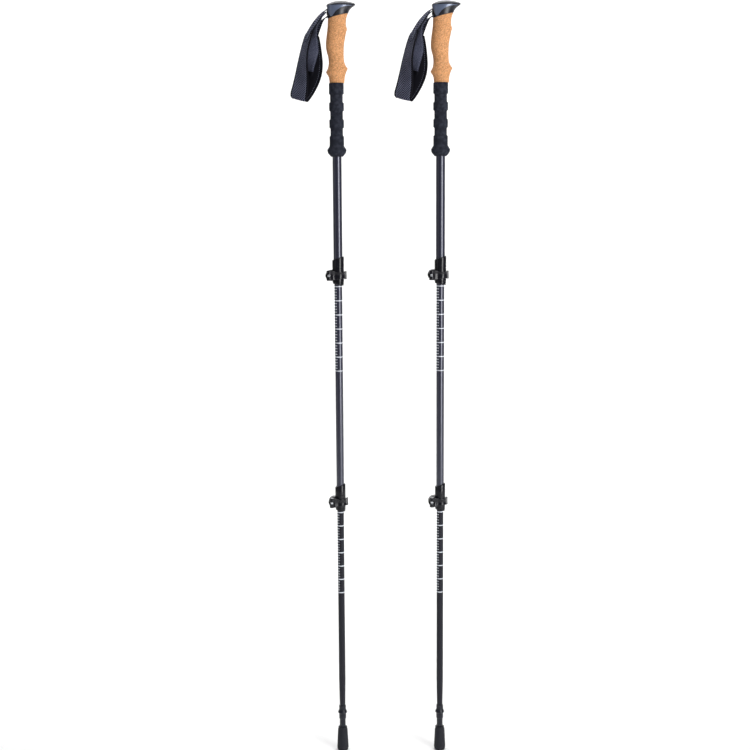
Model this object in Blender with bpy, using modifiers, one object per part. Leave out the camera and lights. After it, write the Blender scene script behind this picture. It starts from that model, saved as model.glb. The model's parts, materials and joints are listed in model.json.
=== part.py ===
"""A pair of three-section telescopic trekking poles with cork grips, wrist straps, lever clamps and tips.

Metres, +Z up. The left pole's axis is the Z axis and its rubber cap stands on z = 0. The beak of each grip
points along +X and the wrist strap hangs on the -X side. Each pole is one call of build_pole.
"""

import math

import bmesh
import bpy
from mathutils import Vector

MM = 0.001
COLLECTION_NAME = "trekking_poles"

# Overall lengths
POLE_SPACING = 180.0 * MM
UPPER_REACH = 467.5 * MM  # middle of the upper clamp to the top of the head
MIDDLE_REACH = 408.5 * MM  # between the middles of the two clamps
LOWER_REACH = 474.0 * MM  # ground to the middle of the lower clamp
TUBE_OVERLAP = 80.0 * MM  # length of an inner tube above its clamp at full extension

# Tubes
UPPER_TUBE_DIAMETER = 16.0 * MM
TUBE_WALL = 0.7 * MM
SLIDE_GAP = 0.3 * MM  # radial, between telescoping tubes
PART_GAP = 0.3 * MM  # between pieces that seat on each other
TUBE_SLIT_WIDTH = 1.6 * MM
TUBE_SLIT_ABOVE = 14.0 * MM  # above the middle of the clamp
TAPER_TOP = 137.0 * MM
TAPER_DROP = 0.9 * MM  # how much thinner in radius the lower tube is where it enters the ferrule

# Guide plugs on the tops of the inner tubes
PLUG_FLANGE_HEIGHT = 8.0 * MM
PLUG_SPIGOT_LENGTH = 14.0 * MM
PLUG_BORE_RADIUS = 2.5 * MM

# Grip, all measured down from the top of the head. These first four are shared by the tables below.
SHOULDER_DEPTH = 7.0  # mm, where the top cap seats on the head
SEAM_DEPTH = 25.6  # mm, where the head meets the cork
SEAM_SLOPE = 0.255  # how the seam rises towards the front
CORK_DEPTH = 136.5  # mm, where the cork meets the foam
SPIGOT_LENGTH = 34.0 * MM
SPIGOT_ROOT = 1.5 * MM  # how far the spigot runs up into the head
TUBE_TOP_DEPTH = 32.0 * MM
CAP_POST_RADIUS = 5.0 * MM
CAP_POST_LENGTH = 3.5 * MM
CAP_POST_ROOT = 2.0 * MM
CAP_POST_X = 9.0 * MM

# Each grip section in mm: depth, rear x, front x, half width, egg factor, slope
HEAD_SECTIONS = (
    (SEAM_DEPTH, -13.6, 21.8, 13.6, 0.05, SEAM_SLOPE),
    (20.5, -14.2, 23.6, 14.4, 0.09, 0.19),
    (15.5, -15.2, 26.6, 15.2, 0.14, 0.12),
    (11.0, -16.0, 30.2, 15.9, 0.19, 0.05),
    (SHOULDER_DEPTH, -15.5, 33.6, 16.1, 0.22, 0.0),
)
CAP_SECTIONS = (
    (SHOULDER_DEPTH - 0.3, -15.4, 33.8, 16.0, 0.22, 0.0),
    (5.2, -13.8, 33.9, 15.1, 0.22, 0.0),
    (3.4, -10.2, 31.2, 13.2, 0.2, 0.0),
    (1.7, -5.6, 25.6, 10.0, 0.15, 0.0),
    (0.5, -0.5, 18.5, 6.2, 0.1, 0.0),
    (0.0, 4.5, 12.5, 2.6, 0.0, 0.0),
)
CORK_SECTIONS = (
    (SEAM_DEPTH, -13.3, 21.2, 13.3, 0.05, SEAM_SLOPE),
    (32.0, -13.5, 18.6, 13.1, 0.05, 0.2),
    (40.0, -13.9, 17.7, 13.0, 0.05, 0.12),
    (44.0, -14.2, 18.6, 13.1, 0.05, 0.08),
    (47.5, -14.6, 19.5, 13.2, 0.05, 0.05),
    (51.0, -15.0, 18.2, 13.3, 0.05, 0.02),
    (61.0, -16.3, 16.1, 13.4, 0.03, 0.0),
    (73.0, -17.2, 14.1, 13.2, 0.0, 0.0),
    (84.0, -15.8, 13.6, 12.8, 0.0, 0.0),
    (93.0, -13.4, 13.6, 12.6, 0.0, 0.0),
    (102.5, -12.7, 14.6, 12.6, 0.0, 0.0),
    (108.5, -13.4, 17.6, 13.1, 0.03, 0.0),
    (112.4, -14.6, 20.0, 13.8, 0.05, 0.0),
    (116.0, -16.4, 18.4, 14.0, 0.0, 0.0),
    (119.0, -17.2, 17.1, 13.9, 0.0, 0.0),
    (125.0, -13.6, 15.5, 12.9, 0.0, 0.0),
    (131.0, -12.1, 14.6, 12.4, 0.0, 0.0),
    (CORK_DEPTH, -11.7, 14.3, 12.3, 0.0, 0.0),
)
# Foam grip in mm: depth from the top of the head and radius
FOAM_PROFILE = (
    (CORK_DEPTH, 12.8),
    (154.4, 12.8),
    (155.8, 10.95),
    (168.6, 10.95),
    (170.0, 12.8),
    (182.6, 12.8),
    (184.0, 10.9),
    (197.4, 10.9),
    (198.8, 12.65),
    (211.6, 12.65),
    (213.0, 10.8),
    (225.4, 10.8),
    (226.8, 12.55),
    (243.2, 12.55),
    (249.6, 16.75),
    (255.0, 15.6),
    (261.2, 10.4),
)

# Trim inlay on each side of the head, in mm: x and depth
TRIM_OUTLINE = (
    (-17.5, 8.0),
    (28.0, 7.9),
    (28.6, 8.5),
    (19.0, 9.6),
    (11.5, 11.6),
    (5.5, 14.6),
    (0.5, 18.4),
    (-3.2, 22.8),
    (-5.6, 26.0),
    (-8.4, 26.2),
    (-10.6, 22.6),
    (-12.8, 17.4),
    (-17.5, 12.5),
)
TRIM_THICKNESS = 1.6 * MM
TRIM_WALL = 0.8 * MM  # left between the trim's recess and the strap pocket

# Wrist strap. Its swing axis is the cross pin in the head.
STRAP_PIN_X = -6.5 * MM
STRAP_PIN_DEPTH = 19.0 * MM
STRAP_PIN_RADIUS = 1.5 * MM
WEBBING_WIDTH = 13.0 * MM
WEBBING_THICKNESS = 1.4 * MM
WEBBING_BEND = 5.0 * MM  # radius of the webbing's middle line round the pin
TAIL_THICKNESS = 1.2 * MM
PAD_THICKNESS = 3.0 * MM
POCKET_CLEARANCE = 0.5 * MM
POCKET_STRAND_ROOM = 1.3 * MM  # over the upper strand, which rises behind the pin as it swings
STRAP_SWING = math.radians(15)
POCKET_REACH = 16.0 * MM  # behind the pin, past the back of the head
POCKET_FLOOR_DROP = 3.0 * MM  # how much lower the pocket's mouth is than its inner end
SEWN_END_SHARE = 0.85  # of the padded band's width
SEWN_END_GAP = 0.5 * MM
WEDGE_PIN_GAP = 1.6 * MM
WEDGE_LENGTH = 5.5 * MM
WEDGE_INNER_HEIGHT = 7.4 * MM
WEDGE_OUTER_HEIGHT = 8.6 * MM

# Strap routes from the pin's axis: middle x, y, z in mm, then the direction that the width lies along
STRAND_OUT = (
    (-3.5, 0.0, 5.5, 0.0, 1.0, 0.0),
    (-8.0, 0.0, 5.3, -0.02, 1.0, 0.02),
    (-12.5, 0.0, 2.6, -0.08, 0.99, 0.08),
    (-17.0, 0.0, -2.4, -0.16, 0.96, 0.15),
    (-23.5, 0.2, -10.5, -0.35, 0.92, 0.27),
    (-30.5, 0.2, -20.0, -0.56, 0.87, 0.35),
)
STRAND_BACK = (
    (-3.5, 0.0, -5.7, 0.0, 1.0, 0.0),
    (-7.5, 0.0, -6.8, 0.0, 1.0, 0.0),
    (-12.5, 0.0, -9.6, -0.08, 0.99, 0.05),
    (-17.5, 0.0, -15.2, -0.19, 0.96, 0.11),
    (-21.6, 0.0, -23.5, -0.32, 0.93, 0.16),
)
# Padded band in mm from the pin's axis: far edge and near edge
PAD_EDGES = (
    ((-46.0, 6.5, -33.5), (-32.0, -7.0, -32.5)),
    ((-51.0, 10.0, -45.0), (-38.0, -11.0, -45.0)),
    ((-55.5, 13.0, -58.0), (-44.0, -13.5, -60.0)),
    ((-59.5, 14.5, -71.0), (-46.8, -14.0, -72.0)),
    ((-63.0, 14.5, -84.0), (-48.0, -13.0, -85.0)),
    ((-68.5, 13.5, -105.0), (-48.3, -10.5, -105.0)),
    ((-72.5, 11.5, -123.0), (-48.7, -8.5, -124.0)),
    ((-74.1, 10.5, -132.0), (-49.6, -8.0, -137.0)),
    ((-73.2, 9.6, -138.4), (-49.0, -8.0, -145.2)),
    ((-69.6, 9.0, -141.0), (-45.4, -8.2, -148.2)),
    ((-65.2, 9.0, -137.6), (-40.8, -8.4, -144.8)),
    ((-57.5, 9.5, -126.0), (-33.5, -8.5, -136.0)),
    ((-49.5, 10.0, -111.0), (-25.0, -9.0, -121.5)),
    ((-42.5, 10.5, -95.0), (-19.0, -10.0, -106.5)),
    ((-38.0, 10.5, -79.0), (-16.5, -10.5, -91.0)),
    ((-36.0, 10.0, -65.0), (-17.1, -10.5, -76.5)),
    ((-34.6, 9.0, -50.0), (-19.5, -10.0, -58.5)),
    ((-32.0, 7.5, -37.0), (-22.0, -7.5, -40.0)),
)
# Free end of the webbing in mm from the pin's axis: one edge and the other
TAIL_EDGES = (
    ((-9.6, 6.4, 1.0), (-9.6, -6.4, 1.0)),
    ((-15.0, 6.4, -4.6), (-14.8, -6.4, -4.8)),
    ((-21.4, 6.2, -12.4), (-18.8, -6.6, -14.4)),
    ((-30.6, 5.2, -22.8), (-25.4, -7.8, -24.8)),
    ((-39.0, 3.2, -35.8), (-26.6, -7.6, -39.2)),
    ((-43.4, 0.4, -48.8), (-25.8, -6.8, -52.4)),
    ((-44.8, -1.6, -61.6), (-26.2, -6.0, -65.2)),
    ((-46.6, 0.0, -77.0), (-30.2, -6.8, -80.6)),
    ((-47.4, 3.4, -90.0), (-34.4, -8.2, -93.4)),
    ((-47.0, 5.2, -99.2), (-37.6, -9.4, -102.8)),
)

# Lever clamps
COLLAR_WALL = 2.1 * MM
COLLAR_ABOVE = 30.0 * MM
COLLAR_BELOW = 16.5 * MM
COLLAR_TOP_SLOPE = 0.336
COLLAR_BOTTOM_SLOPE = -0.19
OUTER_TUBE_END = 12.0 * MM  # below the middle of the clamp
EAR_RADIUS = 9.6 * MM
EAR_REACH = 12.0 * MM  # past the collar's side
EAR_THICKNESS = 5.6 * MM
EAR_SPLIT = 1.6 * MM
BOLT_OFFSET = 5.3 * MM  # bolt axis past the collar's side
BOLT_RADIUS = 1.4 * MM
BOLT_HEAD_RADIUS = 2.0 * MM
BOLT_HEAD_HEIGHT = 1.2 * MM
BARREL_PIN_RADIUS = 2.6 * MM
BARREL_PIN_INSET = 0.4 * MM
BOLT_PAST_NUT = 0.8 * MM
CAM_WALL = 1.6 * MM
CAM_HEIGHT = 17.6 * MM
LEVER_THICKNESS = 2.7 * MM
LEVER_TAB_REACH = 5.0 * MM  # past the collar's side
LEVER_TAB_BACK = 3.4 * MM  # how far the thumb tab runs past the middle plane
# The lever where it wraps round the collar: angle in degrees and half height in mm
LEVER_WRAP = ((-112, 7.4), (-90, 6.4), (-65, 5.9), (-40, 5.9), (-20, 6.4), (-6, 7.2))
NUT_RADIUS = 4.4 * MM
NUT_HEIGHT = 3.5 * MM
NUT_FLUTES = 6
NUT_FLUTE_DEPTH = 0.5 * MM
CUT_PAST = 10.0 * MM  # how far a cutter runs past the piece that it cuts

# Tip
FERRULE_SOCKET_BOTTOM = 64.0 * MM
FERRULE_PROFILE = (  # mm: height, and how far the surface lies outside the radius of the tube's socket
    (86.0, 1.0),
    (79.2, 0.9),
    (74.4, 2.95),
    (73.2, 2.95),
    (71.2, 1.1),
    (61.8, 1.05),
    (61.2, 0.05),
    (45.0, 0.05),
    (15.0, -0.9),
    (14.0, -1.2),
)
TIP_STEM_RADIUS = 2.2 * MM
TIP_STEM_TOP = 26.0 * MM
TIP_PROFILE = (  # mm: height and radius below the ferrule
    (13.7, 3.3),
    (9.6, 3.1),
    (7.2, 2.3),
    (6.2, 2.1),
)
CAP_PROFILE = (  # mm: height, and how far the surface lies outside the radius of the tube's socket
    (45.0, 2.7),
    (41.6, 2.9),
    (40.6, 3.5),
    (7.0, 5.15),
    (2.0, 4.6),
    (0.0, 2.4),
)
CAP_FLOOR = 5.6 * MM

TUBE_SIDES = 20
GRIP_SIDES = 20
TIP_SIDES = 16
SMALL_SIDES = 12
SHARP_ANGLE = math.radians(38)

LOWER_CLAMP_Z = LOWER_REACH
UPPER_CLAMP_Z = LOWER_CLAMP_Z + MIDDLE_REACH
HEAD_TOP = UPPER_CLAMP_Z + UPPER_REACH
UPPER_TUBE_RADIUS = UPPER_TUBE_DIAMETER / 2
MIDDLE_TUBE_RADIUS = UPPER_TUBE_RADIUS - TUBE_WALL - SLIDE_GAP
LOWER_TUBE_RADIUS = MIDDLE_TUBE_RADIUS - TUBE_WALL - SLIDE_GAP
FERRULE_SOCKET_RADIUS = LOWER_TUBE_RADIUS - TAPER_DROP + PART_GAP
STRAP_PIN_Z = HEAD_TOP - STRAP_PIN_DEPTH

FINISHES = {
    "carbon_gloss": ((0.02, 0.02, 0.026), 0.22, 0.0),
    "carbon_matt": ((0.045, 0.043, 0.05), 0.42, 0.0),
    "black_plastic": ((0.018, 0.018, 0.022), 0.38, 0.0),
    "trim_plastic": ((0.16, 0.19, 0.27), 0.32, 0.2),
    "cork": ((0.75, 0.42, 0.19), 0.8, 0.0),
    "foam": ((0.03, 0.031, 0.042), 0.88, 0.0),
    "webbing": ((0.06, 0.07, 0.12), 0.8, 0.0),
    "lining": ((0.012, 0.012, 0.016), 0.95, 0.0),
    "steel": ((0.62, 0.62, 0.64), 0.3, 1.0),
    "carbide": ((0.3, 0.3, 0.31), 0.4, 1.0),
    "rubber": ((0.02, 0.02, 0.021), 0.75, 0.0),
}


def clear_scene():
    for item in list(bpy.data.objects):
        bpy.data.objects.remove(item, do_unlink=True)


def new_collection(name):
    made = bpy.data.collections.new(name)
    bpy.context.scene.collection.children.link(made)
    return made


def make_material(name):
    colour, roughness, metallic = FINISHES[name]
    made = bpy.data.materials.new(name)
    made.use_nodes = True
    shader = made.node_tree.nodes["Principled BSDF"]
    shader.inputs["Base Color"].default_value = (*colour, 1.0)
    shader.inputs["Roughness"].default_value = roughness
    shader.inputs["Metallic"].default_value = metallic
    return made


def mesh_from(name, points, faces):
    """A mesh of these points and faces, its faces turned outwards."""
    mesh = bpy.data.meshes.new(name)
    mesh.from_pydata([tuple(p) for p in points], [], faces)
    shape = bmesh.new()
    shape.from_mesh(mesh)
    bmesh.ops.recalc_face_normals(shape, faces=shape.faces)
    shape.to_mesh(mesh)
    shape.free()
    mesh.shade_smooth()
    mesh.set_sharp_from_angle(angle=SHARP_ANGLE)
    return mesh


def loft(name, rings, closed=False):
    """A solid through rings of equal count: capped at both ends, or closed on itself as a sleeve."""
    count = len(rings[0])
    points = [p for ring in rings for p in ring]
    spans = len(rings) if closed else len(rings) - 1
    faces = []
    for i in range(spans):
        here = i * count
        there = ((i + 1) % len(rings)) * count
        for k in range(count):
            after = (k + 1) % count
            faces.append((here + k, here + after, there + after, there + k))
    if not closed:
        faces.append(tuple(range(count)))
        faces.append(tuple(range(len(points) - count, len(points))))
    return mesh_from(name, points, faces)


def prism(name, outline, start, end):
    """An outline in X and Z, stretched along Y."""
    near = [(x, start, z) for x, z in outline]
    far = [(x, end, z) for x, z in outline]
    return loft(name, [near, far])


def cylinder(name, radius, start, end, sides=SMALL_SIDES):
    """A round bar from one point to another."""
    start = Vector(start)
    end = Vector(end)
    along = end - start
    mesh = bpy.data.meshes.new(name)
    shape = bmesh.new()
    bmesh.ops.create_cone(
        shape, cap_ends=True, segments=sides, radius1=radius, radius2=radius, depth=along.length
    )
    turn = along.to_track_quat("Z", "Y").to_matrix().to_4x4()
    bmesh.ops.transform(shape, matrix=turn, verts=shape.verts)
    bmesh.ops.translate(shape, vec=(start + end) / 2, verts=shape.verts)
    shape.to_mesh(mesh)
    shape.free()
    mesh.shade_smooth()
    mesh.set_sharp_from_angle(angle=SHARP_ANGLE)
    return mesh


def block(name, low, high):
    low = Vector(low)
    high = Vector(high)
    mesh = bpy.data.meshes.new(name)
    shape = bmesh.new()
    bmesh.ops.create_cube(shape, size=1.0)
    bmesh.ops.scale(shape, vec=high - low, verts=shape.verts)
    bmesh.ops.translate(shape, vec=(low + high) / 2, verts=shape.verts)
    shape.to_mesh(mesh)
    shape.free()
    return mesh


def profile_mesh(name, profile, closed):
    """A turned piece's half outline: radius and height, running down its outer side."""
    mesh = bpy.data.meshes.new(name)
    count = len(profile)
    edges = [(i, i + 1) for i in range(count - 1)]
    if closed:
        edges.append((count - 1, 0))
    mesh.from_pydata([(r, 0.0, z) for r, z in profile], edges, [])
    return mesh


def add_screw(thing, sides):
    screw = thing.modifiers.new("turn", "SCREW")
    screw.steps = sides
    screw.render_steps = sides
    screw.use_merge_vertices = True
    screw.merge_threshold = 0.00001
    screw.use_smooth_shade = True
    screw.use_normal_calculate = False


def section_ring(section, top, inset=0.0, sides=GRIP_SIDES):
    """One egg-shaped grip section, narrower towards the front, on a plane that slopes up to the front."""
    depth, rear, front, half, egg, slope = section
    rear = rear * MM + inset
    front = front * MM - inset
    half = half * MM - inset
    middle = (rear + front) / 2
    reach = (front - rear) / 2
    ring = []
    for k in range(sides):
        angle = 2 * math.pi * k / sides
        x = middle + reach * math.cos(angle)
        y = half * math.sin(angle) * (1 - egg * math.cos(angle))
        ring.append((x, y, top - depth * MM + slope * x))
    return ring


def head_side(x, depth):
    """How far the head's side is from the middle plane at this place."""
    found = []
    for own_depth, rear, front, half, egg, _ in HEAD_SECTIONS:
        middle = (rear + front) / 2
        turn = min(max((x / MM - middle) / ((front - rear) / 2), -1.0), 1.0)
        found.append((own_depth * MM, half * MM * math.sqrt(1 - turn**2) * (1 - egg * turn)))
    for (low, low_side), (high, high_side) in zip(found, found[1:]):
        if high <= depth <= low:
            share = (low - depth) / (low - high)
            return low_side + (high_side - low_side) * share
    return found[0][1]


def circle(radius, height, slope=0.0, sides=TUBE_SIDES):
    ring = []
    for k in range(sides):
        angle = 2 * math.pi * k / sides
        x = radius * math.cos(angle)
        ring.append((x, radius * math.sin(angle), height + slope * x))
    return ring


def grown(outline, amount):
    """The outline moved outwards; its points run clockwise when Z is up and X is to the right."""
    made = []
    count = len(outline)
    for i in range(count):
        before = Vector(outline[i - 1])
        here = Vector(outline[i])
        after = Vector(outline[(i + 1) % count])
        first = (here - before).normalized()
        second = (after - here).normalized()
        first_out = Vector((-first.y, first.x))
        second_out = Vector((-second.y, second.x))
        out = (first_out + second_out).normalized()
        made.append(tuple(here + out * amount / max(out.dot(first_out), 0.5)))
    return made


def between(rows, parts):
    """Rows of numbers with a smooth curve through them, each gap cut into this many parts."""
    rows = [Vector(row) for row in rows]
    made = []
    for i in range(len(rows) - 1):
        p0 = rows[max(i - 1, 0)]
        p1 = rows[i]
        p2 = rows[i + 1]
        p3 = rows[min(i + 2, len(rows) - 1)]
        for step in range(parts):
            t = step / parts
            made.append(
                0.5
                * (
                    2 * p1
                    + (p2 - p0) * t
                    + (2 * p0 - 5 * p1 + 4 * p2 - p3) * t**2
                    + (3 * p1 - p0 - 3 * p2 + p3) * t**3
                )
            )
    made.append(rows[-1])
    return made


def band(name, edges, thickness):
    """A flat band between two edges, given as pairs of points along it."""
    middles = [(Vector(a) + Vector(b)) / 2 for a, b in edges]
    rings = []
    last = len(edges) - 1
    for i, (a, b) in enumerate(edges):
        along = (middles[min(i + 1, last)] - middles[max(i - 1, 0)]).normalized()
        across = (Vector(a) - Vector(b)).normalized()
        out = along.cross(across).normalized() * thickness / 2
        rings.append([Vector(a) + out, Vector(b) + out, Vector(b) - out, Vector(a) - out])
    return loft(name, rings)


def smooth_edges(pairs, parts):
    """Edge pairs in mm made smooth and turned into metres."""
    first = between([Vector(a) * MM for a, _ in pairs], parts)
    second = between([Vector(b) * MM for _, b in pairs], parts)
    return list(zip(first, second))


class Pole:
    """One pole's name, place and the collections that its pieces go into."""

    def __init__(self, side, offset, parts, cutters, materials):
        self.side = side
        self.parts = parts
        self.cutters = cutters
        self.materials = materials
        self.root = self.empty(f"{side}_pole", (offset, 0.0, 0.0), None)

    def empty(self, name, place, parent):
        made = bpy.data.objects.new(name, None)
        made.empty_display_size = 0.02
        made.location = place
        made.parent = parent
        self.parts.objects.link(made)
        return made

    def link(self, name, mesh, finish, place=(0, 0, 0), turn=(0, 0, 0), parent=None):
        made = bpy.data.objects.new(f"{self.side}_{name}", mesh)
        mesh.materials.append(self.materials[finish])
        made.location = place
        made.rotation_euler = turn
        made.parent = parent or self.root
        self.parts.objects.link(made)
        return made

    def turned(self, name, profile, finish, sides=TUBE_SIDES, closed=True, place=(0, 0, 0), turn=(0, 0, 0)):
        made = self.link(name, profile_mesh(name, profile, closed), finish, place, turn)
        add_screw(made, sides)
        return made

    def cutter(self, name, mesh, place=(0, 0, 0), parent=None):
        made = bpy.data.objects.new(f"{self.side}_{name}_cutter", mesh)
        made.location = place
        made.parent = parent or self.root
        made.hide_render = True
        made.display_type = "WIRE"
        self.cutters.objects.link(made)
        return made

    def boolean(self, thing, tool, operation="DIFFERENCE"):
        step = thing.modifiers.new(operation.lower(), "BOOLEAN")
        step.operation = operation
        step.solver = "EXACT"
        step.object = tool
        return thing


def pocket_outline():
    """The strap pocket's side outline from the pin's axis: round at its inner end, opening to the rear."""
    radius = WEBBING_BEND + WEBBING_THICKNESS / 2 + POCKET_CLEARANCE
    rise = math.tan(STRAP_SWING) * POCKET_REACH
    roof = radius + POCKET_STRAND_ROOM
    outline = [(-POCKET_REACH, roof + rise), (0.0, roof)]
    steps = 8
    for k in range(steps + 1):
        angle = math.pi / 2 - math.pi * k / steps
        outline.append((radius * math.cos(angle), radius * math.sin(angle)))
    outline.append((-POCKET_REACH, -radius - POCKET_FLOOR_DROP))
    return outline


def build_head(pole):
    """Head with its strap pocket and the spigot that fills the tube, the top cap and two trim inlays."""
    sections = HEAD_SECTIONS
    skin = [section_ring(s, HEAD_TOP) for s in sections]
    core = pole.link("head_core", loft("head_core", skin), "black_plastic")
    spigot_radius = UPPER_TUBE_RADIUS - TUBE_WALL - PART_GAP
    spigot_top = HEAD_TOP - SEAM_DEPTH * MM + SPIGOT_ROOT
    spigot_bottom = HEAD_TOP - TUBE_TOP_DEPTH - SPIGOT_LENGTH
    spigot = cylinder("spigot", spigot_radius, (0, 0, spigot_bottom), (0, 0, spigot_top), TUBE_SIDES)
    pole.boolean(core, pole.cutter("spigot", spigot), "UNION")

    cap_rings = [section_ring(s, HEAD_TOP) for s in CAP_SECTIONS]
    cap = pole.link("head_cap", loft("head_cap", cap_rings), "black_plastic")
    seat = HEAD_TOP - SHOULDER_DEPTH * MM
    post_end = (CAP_POST_X, 0, seat - CAP_POST_LENGTH)
    post = cylinder("post", CAP_POST_RADIUS, post_end, (CAP_POST_X, 0, seat + CAP_POST_ROOT))
    pole.boolean(cap, pole.cutter("cap_post", post), "UNION")
    socket_end = (CAP_POST_X, 0, seat - CAP_POST_LENGTH - PART_GAP)
    socket = cylinder("socket", CAP_POST_RADIUS + PART_GAP, socket_end, (CAP_POST_X, 0, seat + MM))
    pole.boolean(core, pole.cutter("cap_socket", socket))

    pin = (STRAP_PIN_X, 0.0, STRAP_PIN_Z)
    half_pocket = WEBBING_WIDTH / 2 + POCKET_CLEARANCE
    pocket = prism("pocket", pocket_outline(), -half_pocket, half_pocket)
    pole.boolean(core, pole.cutter("strap_pocket", pocket, pin))

    outline = [(x * MM, HEAD_TOP - depth * MM) for x, depth in TRIM_OUTLINE]
    outer_y = max(s[3] for s in sections) * MM + 5 * MM
    for face, sign in (("front", -1), ("back", 1)):
        inner = half_pocket + TRIM_WALL + PART_GAP
        shape = prism("trim", outline, sign * inner, sign * outer_y)
        trim = pole.link(f"head_trim_{face}", shape, "trim_plastic")
        whole = loft("trim_skin", skin)
        pole.boolean(trim, pole.cutter(f"trim_skin_{face}", whole), "INTERSECT")
        inside = loft("trim_inside", [section_ring(s, HEAD_TOP, TRIM_THICKNESS) for s in sections])
        pole.boolean(trim, pole.cutter(f"trim_inside_{face}", inside))

        recess_shape = prism("recess", grown(outline, PART_GAP), sign * (inner - PART_GAP), sign * outer_y)
        recess = pole.cutter(f"trim_recess_{face}", recess_shape)
        floor_inset = TRIM_THICKNESS + PART_GAP
        floor = loft("recess_floor", [section_ring(s, HEAD_TOP, floor_inset) for s in sections])
        pole.boolean(recess, pole.cutter(f"recess_floor_{face}", floor))
        pole.boolean(core, recess)

    reach = (-STRAP_PIN_RADIUS, STRAP_PIN_RADIUS)
    corners = [(a, b) for a in reach for b in reach]
    side = min(head_side(STRAP_PIN_X + a, STRAP_PIN_DEPTH + b) for a, b in corners)
    recess_floor_y = side - TRIM_THICKNESS - PART_GAP
    half_pin = recess_floor_y - 2 * PART_GAP
    hole_end = recess_floor_y + TRIM_THICKNESS
    hole = cylinder("hole", STRAP_PIN_RADIUS + PART_GAP, (0, -hole_end, 0), (0, hole_end, 0))
    pole.boolean(core, pole.cutter("strap_pin_hole", hole, pin))
    bar = cylinder("strap_pin", STRAP_PIN_RADIUS, (0, -half_pin, 0), (0, half_pin, 0))
    pole.link("strap_pin", bar, "steel", pin)


def build_grip(pole):
    """Cork grip and ribbed foam extension, both sleeved on the upper tube."""
    bore = UPPER_TUBE_RADIUS + PART_GAP
    rings = [section_ring(s, HEAD_TOP - PART_GAP) for s in CORK_SECTIONS]
    bottom = HEAD_TOP - PART_GAP - CORK_DEPTH * MM
    top = HEAD_TOP - PART_GAP - SEAM_DEPTH * MM
    rings.append(circle(bore, bottom, 0.0, GRIP_SIDES))
    rings.append(circle(bore, top, SEAM_SLOPE, GRIP_SIDES))
    pole.link("cork_grip", loft("cork_grip", rings, closed=True), "cork")

    gap = 2 * PART_GAP
    profile = [(r * MM, HEAD_TOP - depth * MM - gap) for depth, r in FOAM_PROFILE]
    first = profile[0][1]
    last = profile[-1][1]
    profile += [(bore, last), (bore, first)]
    pole.turned("foam_grip", profile, "foam", GRIP_SIDES)


def build_strap(pole):
    """Webbing round the cross pin, the padded band, its free tail and the wedge that grips it."""
    swing = pole.empty(f"{pole.side}_strap_swing", (STRAP_PIN_X, 0.0, STRAP_PIN_Z), pole.root)
    pad = smooth_edges(PAD_EDGES, 2)
    pole.link("strap_pad", band("strap_pad", pad, PAD_THICKNESS), "lining", parent=swing)

    rows = list(reversed(STRAND_OUT))
    bend = []
    steps = 6
    for k in range(steps + 1):
        angle = math.pi / 2 - math.pi * k / steps
        radius = WEBBING_BEND / MM
        bend.append((radius * math.cos(angle), 0.0, radius * math.sin(angle), 0.0, 1.0, 0.0))
    rows = between_rows(rows, 2) + bend + between_rows(STRAND_BACK, 2)
    edges = []
    for x, y, z, a, b, c in rows:
        middle = Vector((x, y, z)) * MM
        half = Vector((a, b, c)).normalized() * WEBBING_WIDTH / 2
        edges.append((middle + half, middle - half))
    edges.insert(0, sewn_end(pad[0], pad[1]))
    edges.append(sewn_end(pad[-1], pad[-2]))
    pole.link("strap_webbing", band("strap_webbing", edges, WEBBING_THICKNESS), "webbing", parent=swing)

    tail = smooth_edges(TAIL_EDGES, 2)
    pole.link("strap_tail", band("strap_tail", tail, TAIL_THICKNESS), "webbing", parent=swing)

    inner_x = -STRAP_PIN_RADIUS - WEDGE_PIN_GAP
    outer_x = inner_x - WEDGE_LENGTH
    outline = (
        (inner_x, WEDGE_INNER_HEIGHT / 2),
        (inner_x, -WEDGE_INNER_HEIGHT / 2),
        (outer_x, -WEDGE_OUTER_HEIGHT / 2),
        (outer_x, WEDGE_INNER_HEIGHT / 2),
    )
    half = WEBBING_WIDTH / 2
    pole.link("strap_wedge", prism("strap_wedge", outline, -half, half), "black_plastic", parent=swing)


def between_rows(rows, parts):
    """Strap rows with a smooth curve through them."""
    middles = between([row[:3] for row in rows], parts)
    halves = between([row[3:] for row in rows], parts)
    return [(*m, *h) for m, h in zip(middles, halves)]


def sewn_end(last, before):
    """The webbing's end, just short of the padded band's end and a little narrower."""
    middle = (last[0] + last[1]) / 2
    behind = (before[0] + before[1]) / 2
    along = (middle - behind).normalized()
    half = (last[0] - last[1]) / 2 * SEWN_END_SHARE
    place = middle + along * SEWN_END_GAP
    return place + half, place - half


def clamped_tube(pole, name, radius, bottom_clamp, top, finish):
    """A tube whose lower end sits in a clamp and is slit there so that it can close on the next tube."""
    end = bottom_clamp - OUTER_TUBE_END
    inner = radius - TUBE_WALL
    tube = pole.turned(name, [(radius, top), (radius, end), (inner, end), (inner, top)], finish)
    half = TUBE_SLIT_WIDTH / 2
    slit = block("slit", (-radius - MM, -half, end - MM), (0, half, bottom_clamp + TUBE_SLIT_ABOVE))
    pole.boolean(tube, pole.cutter(f"{name}_slit", slit))


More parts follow.
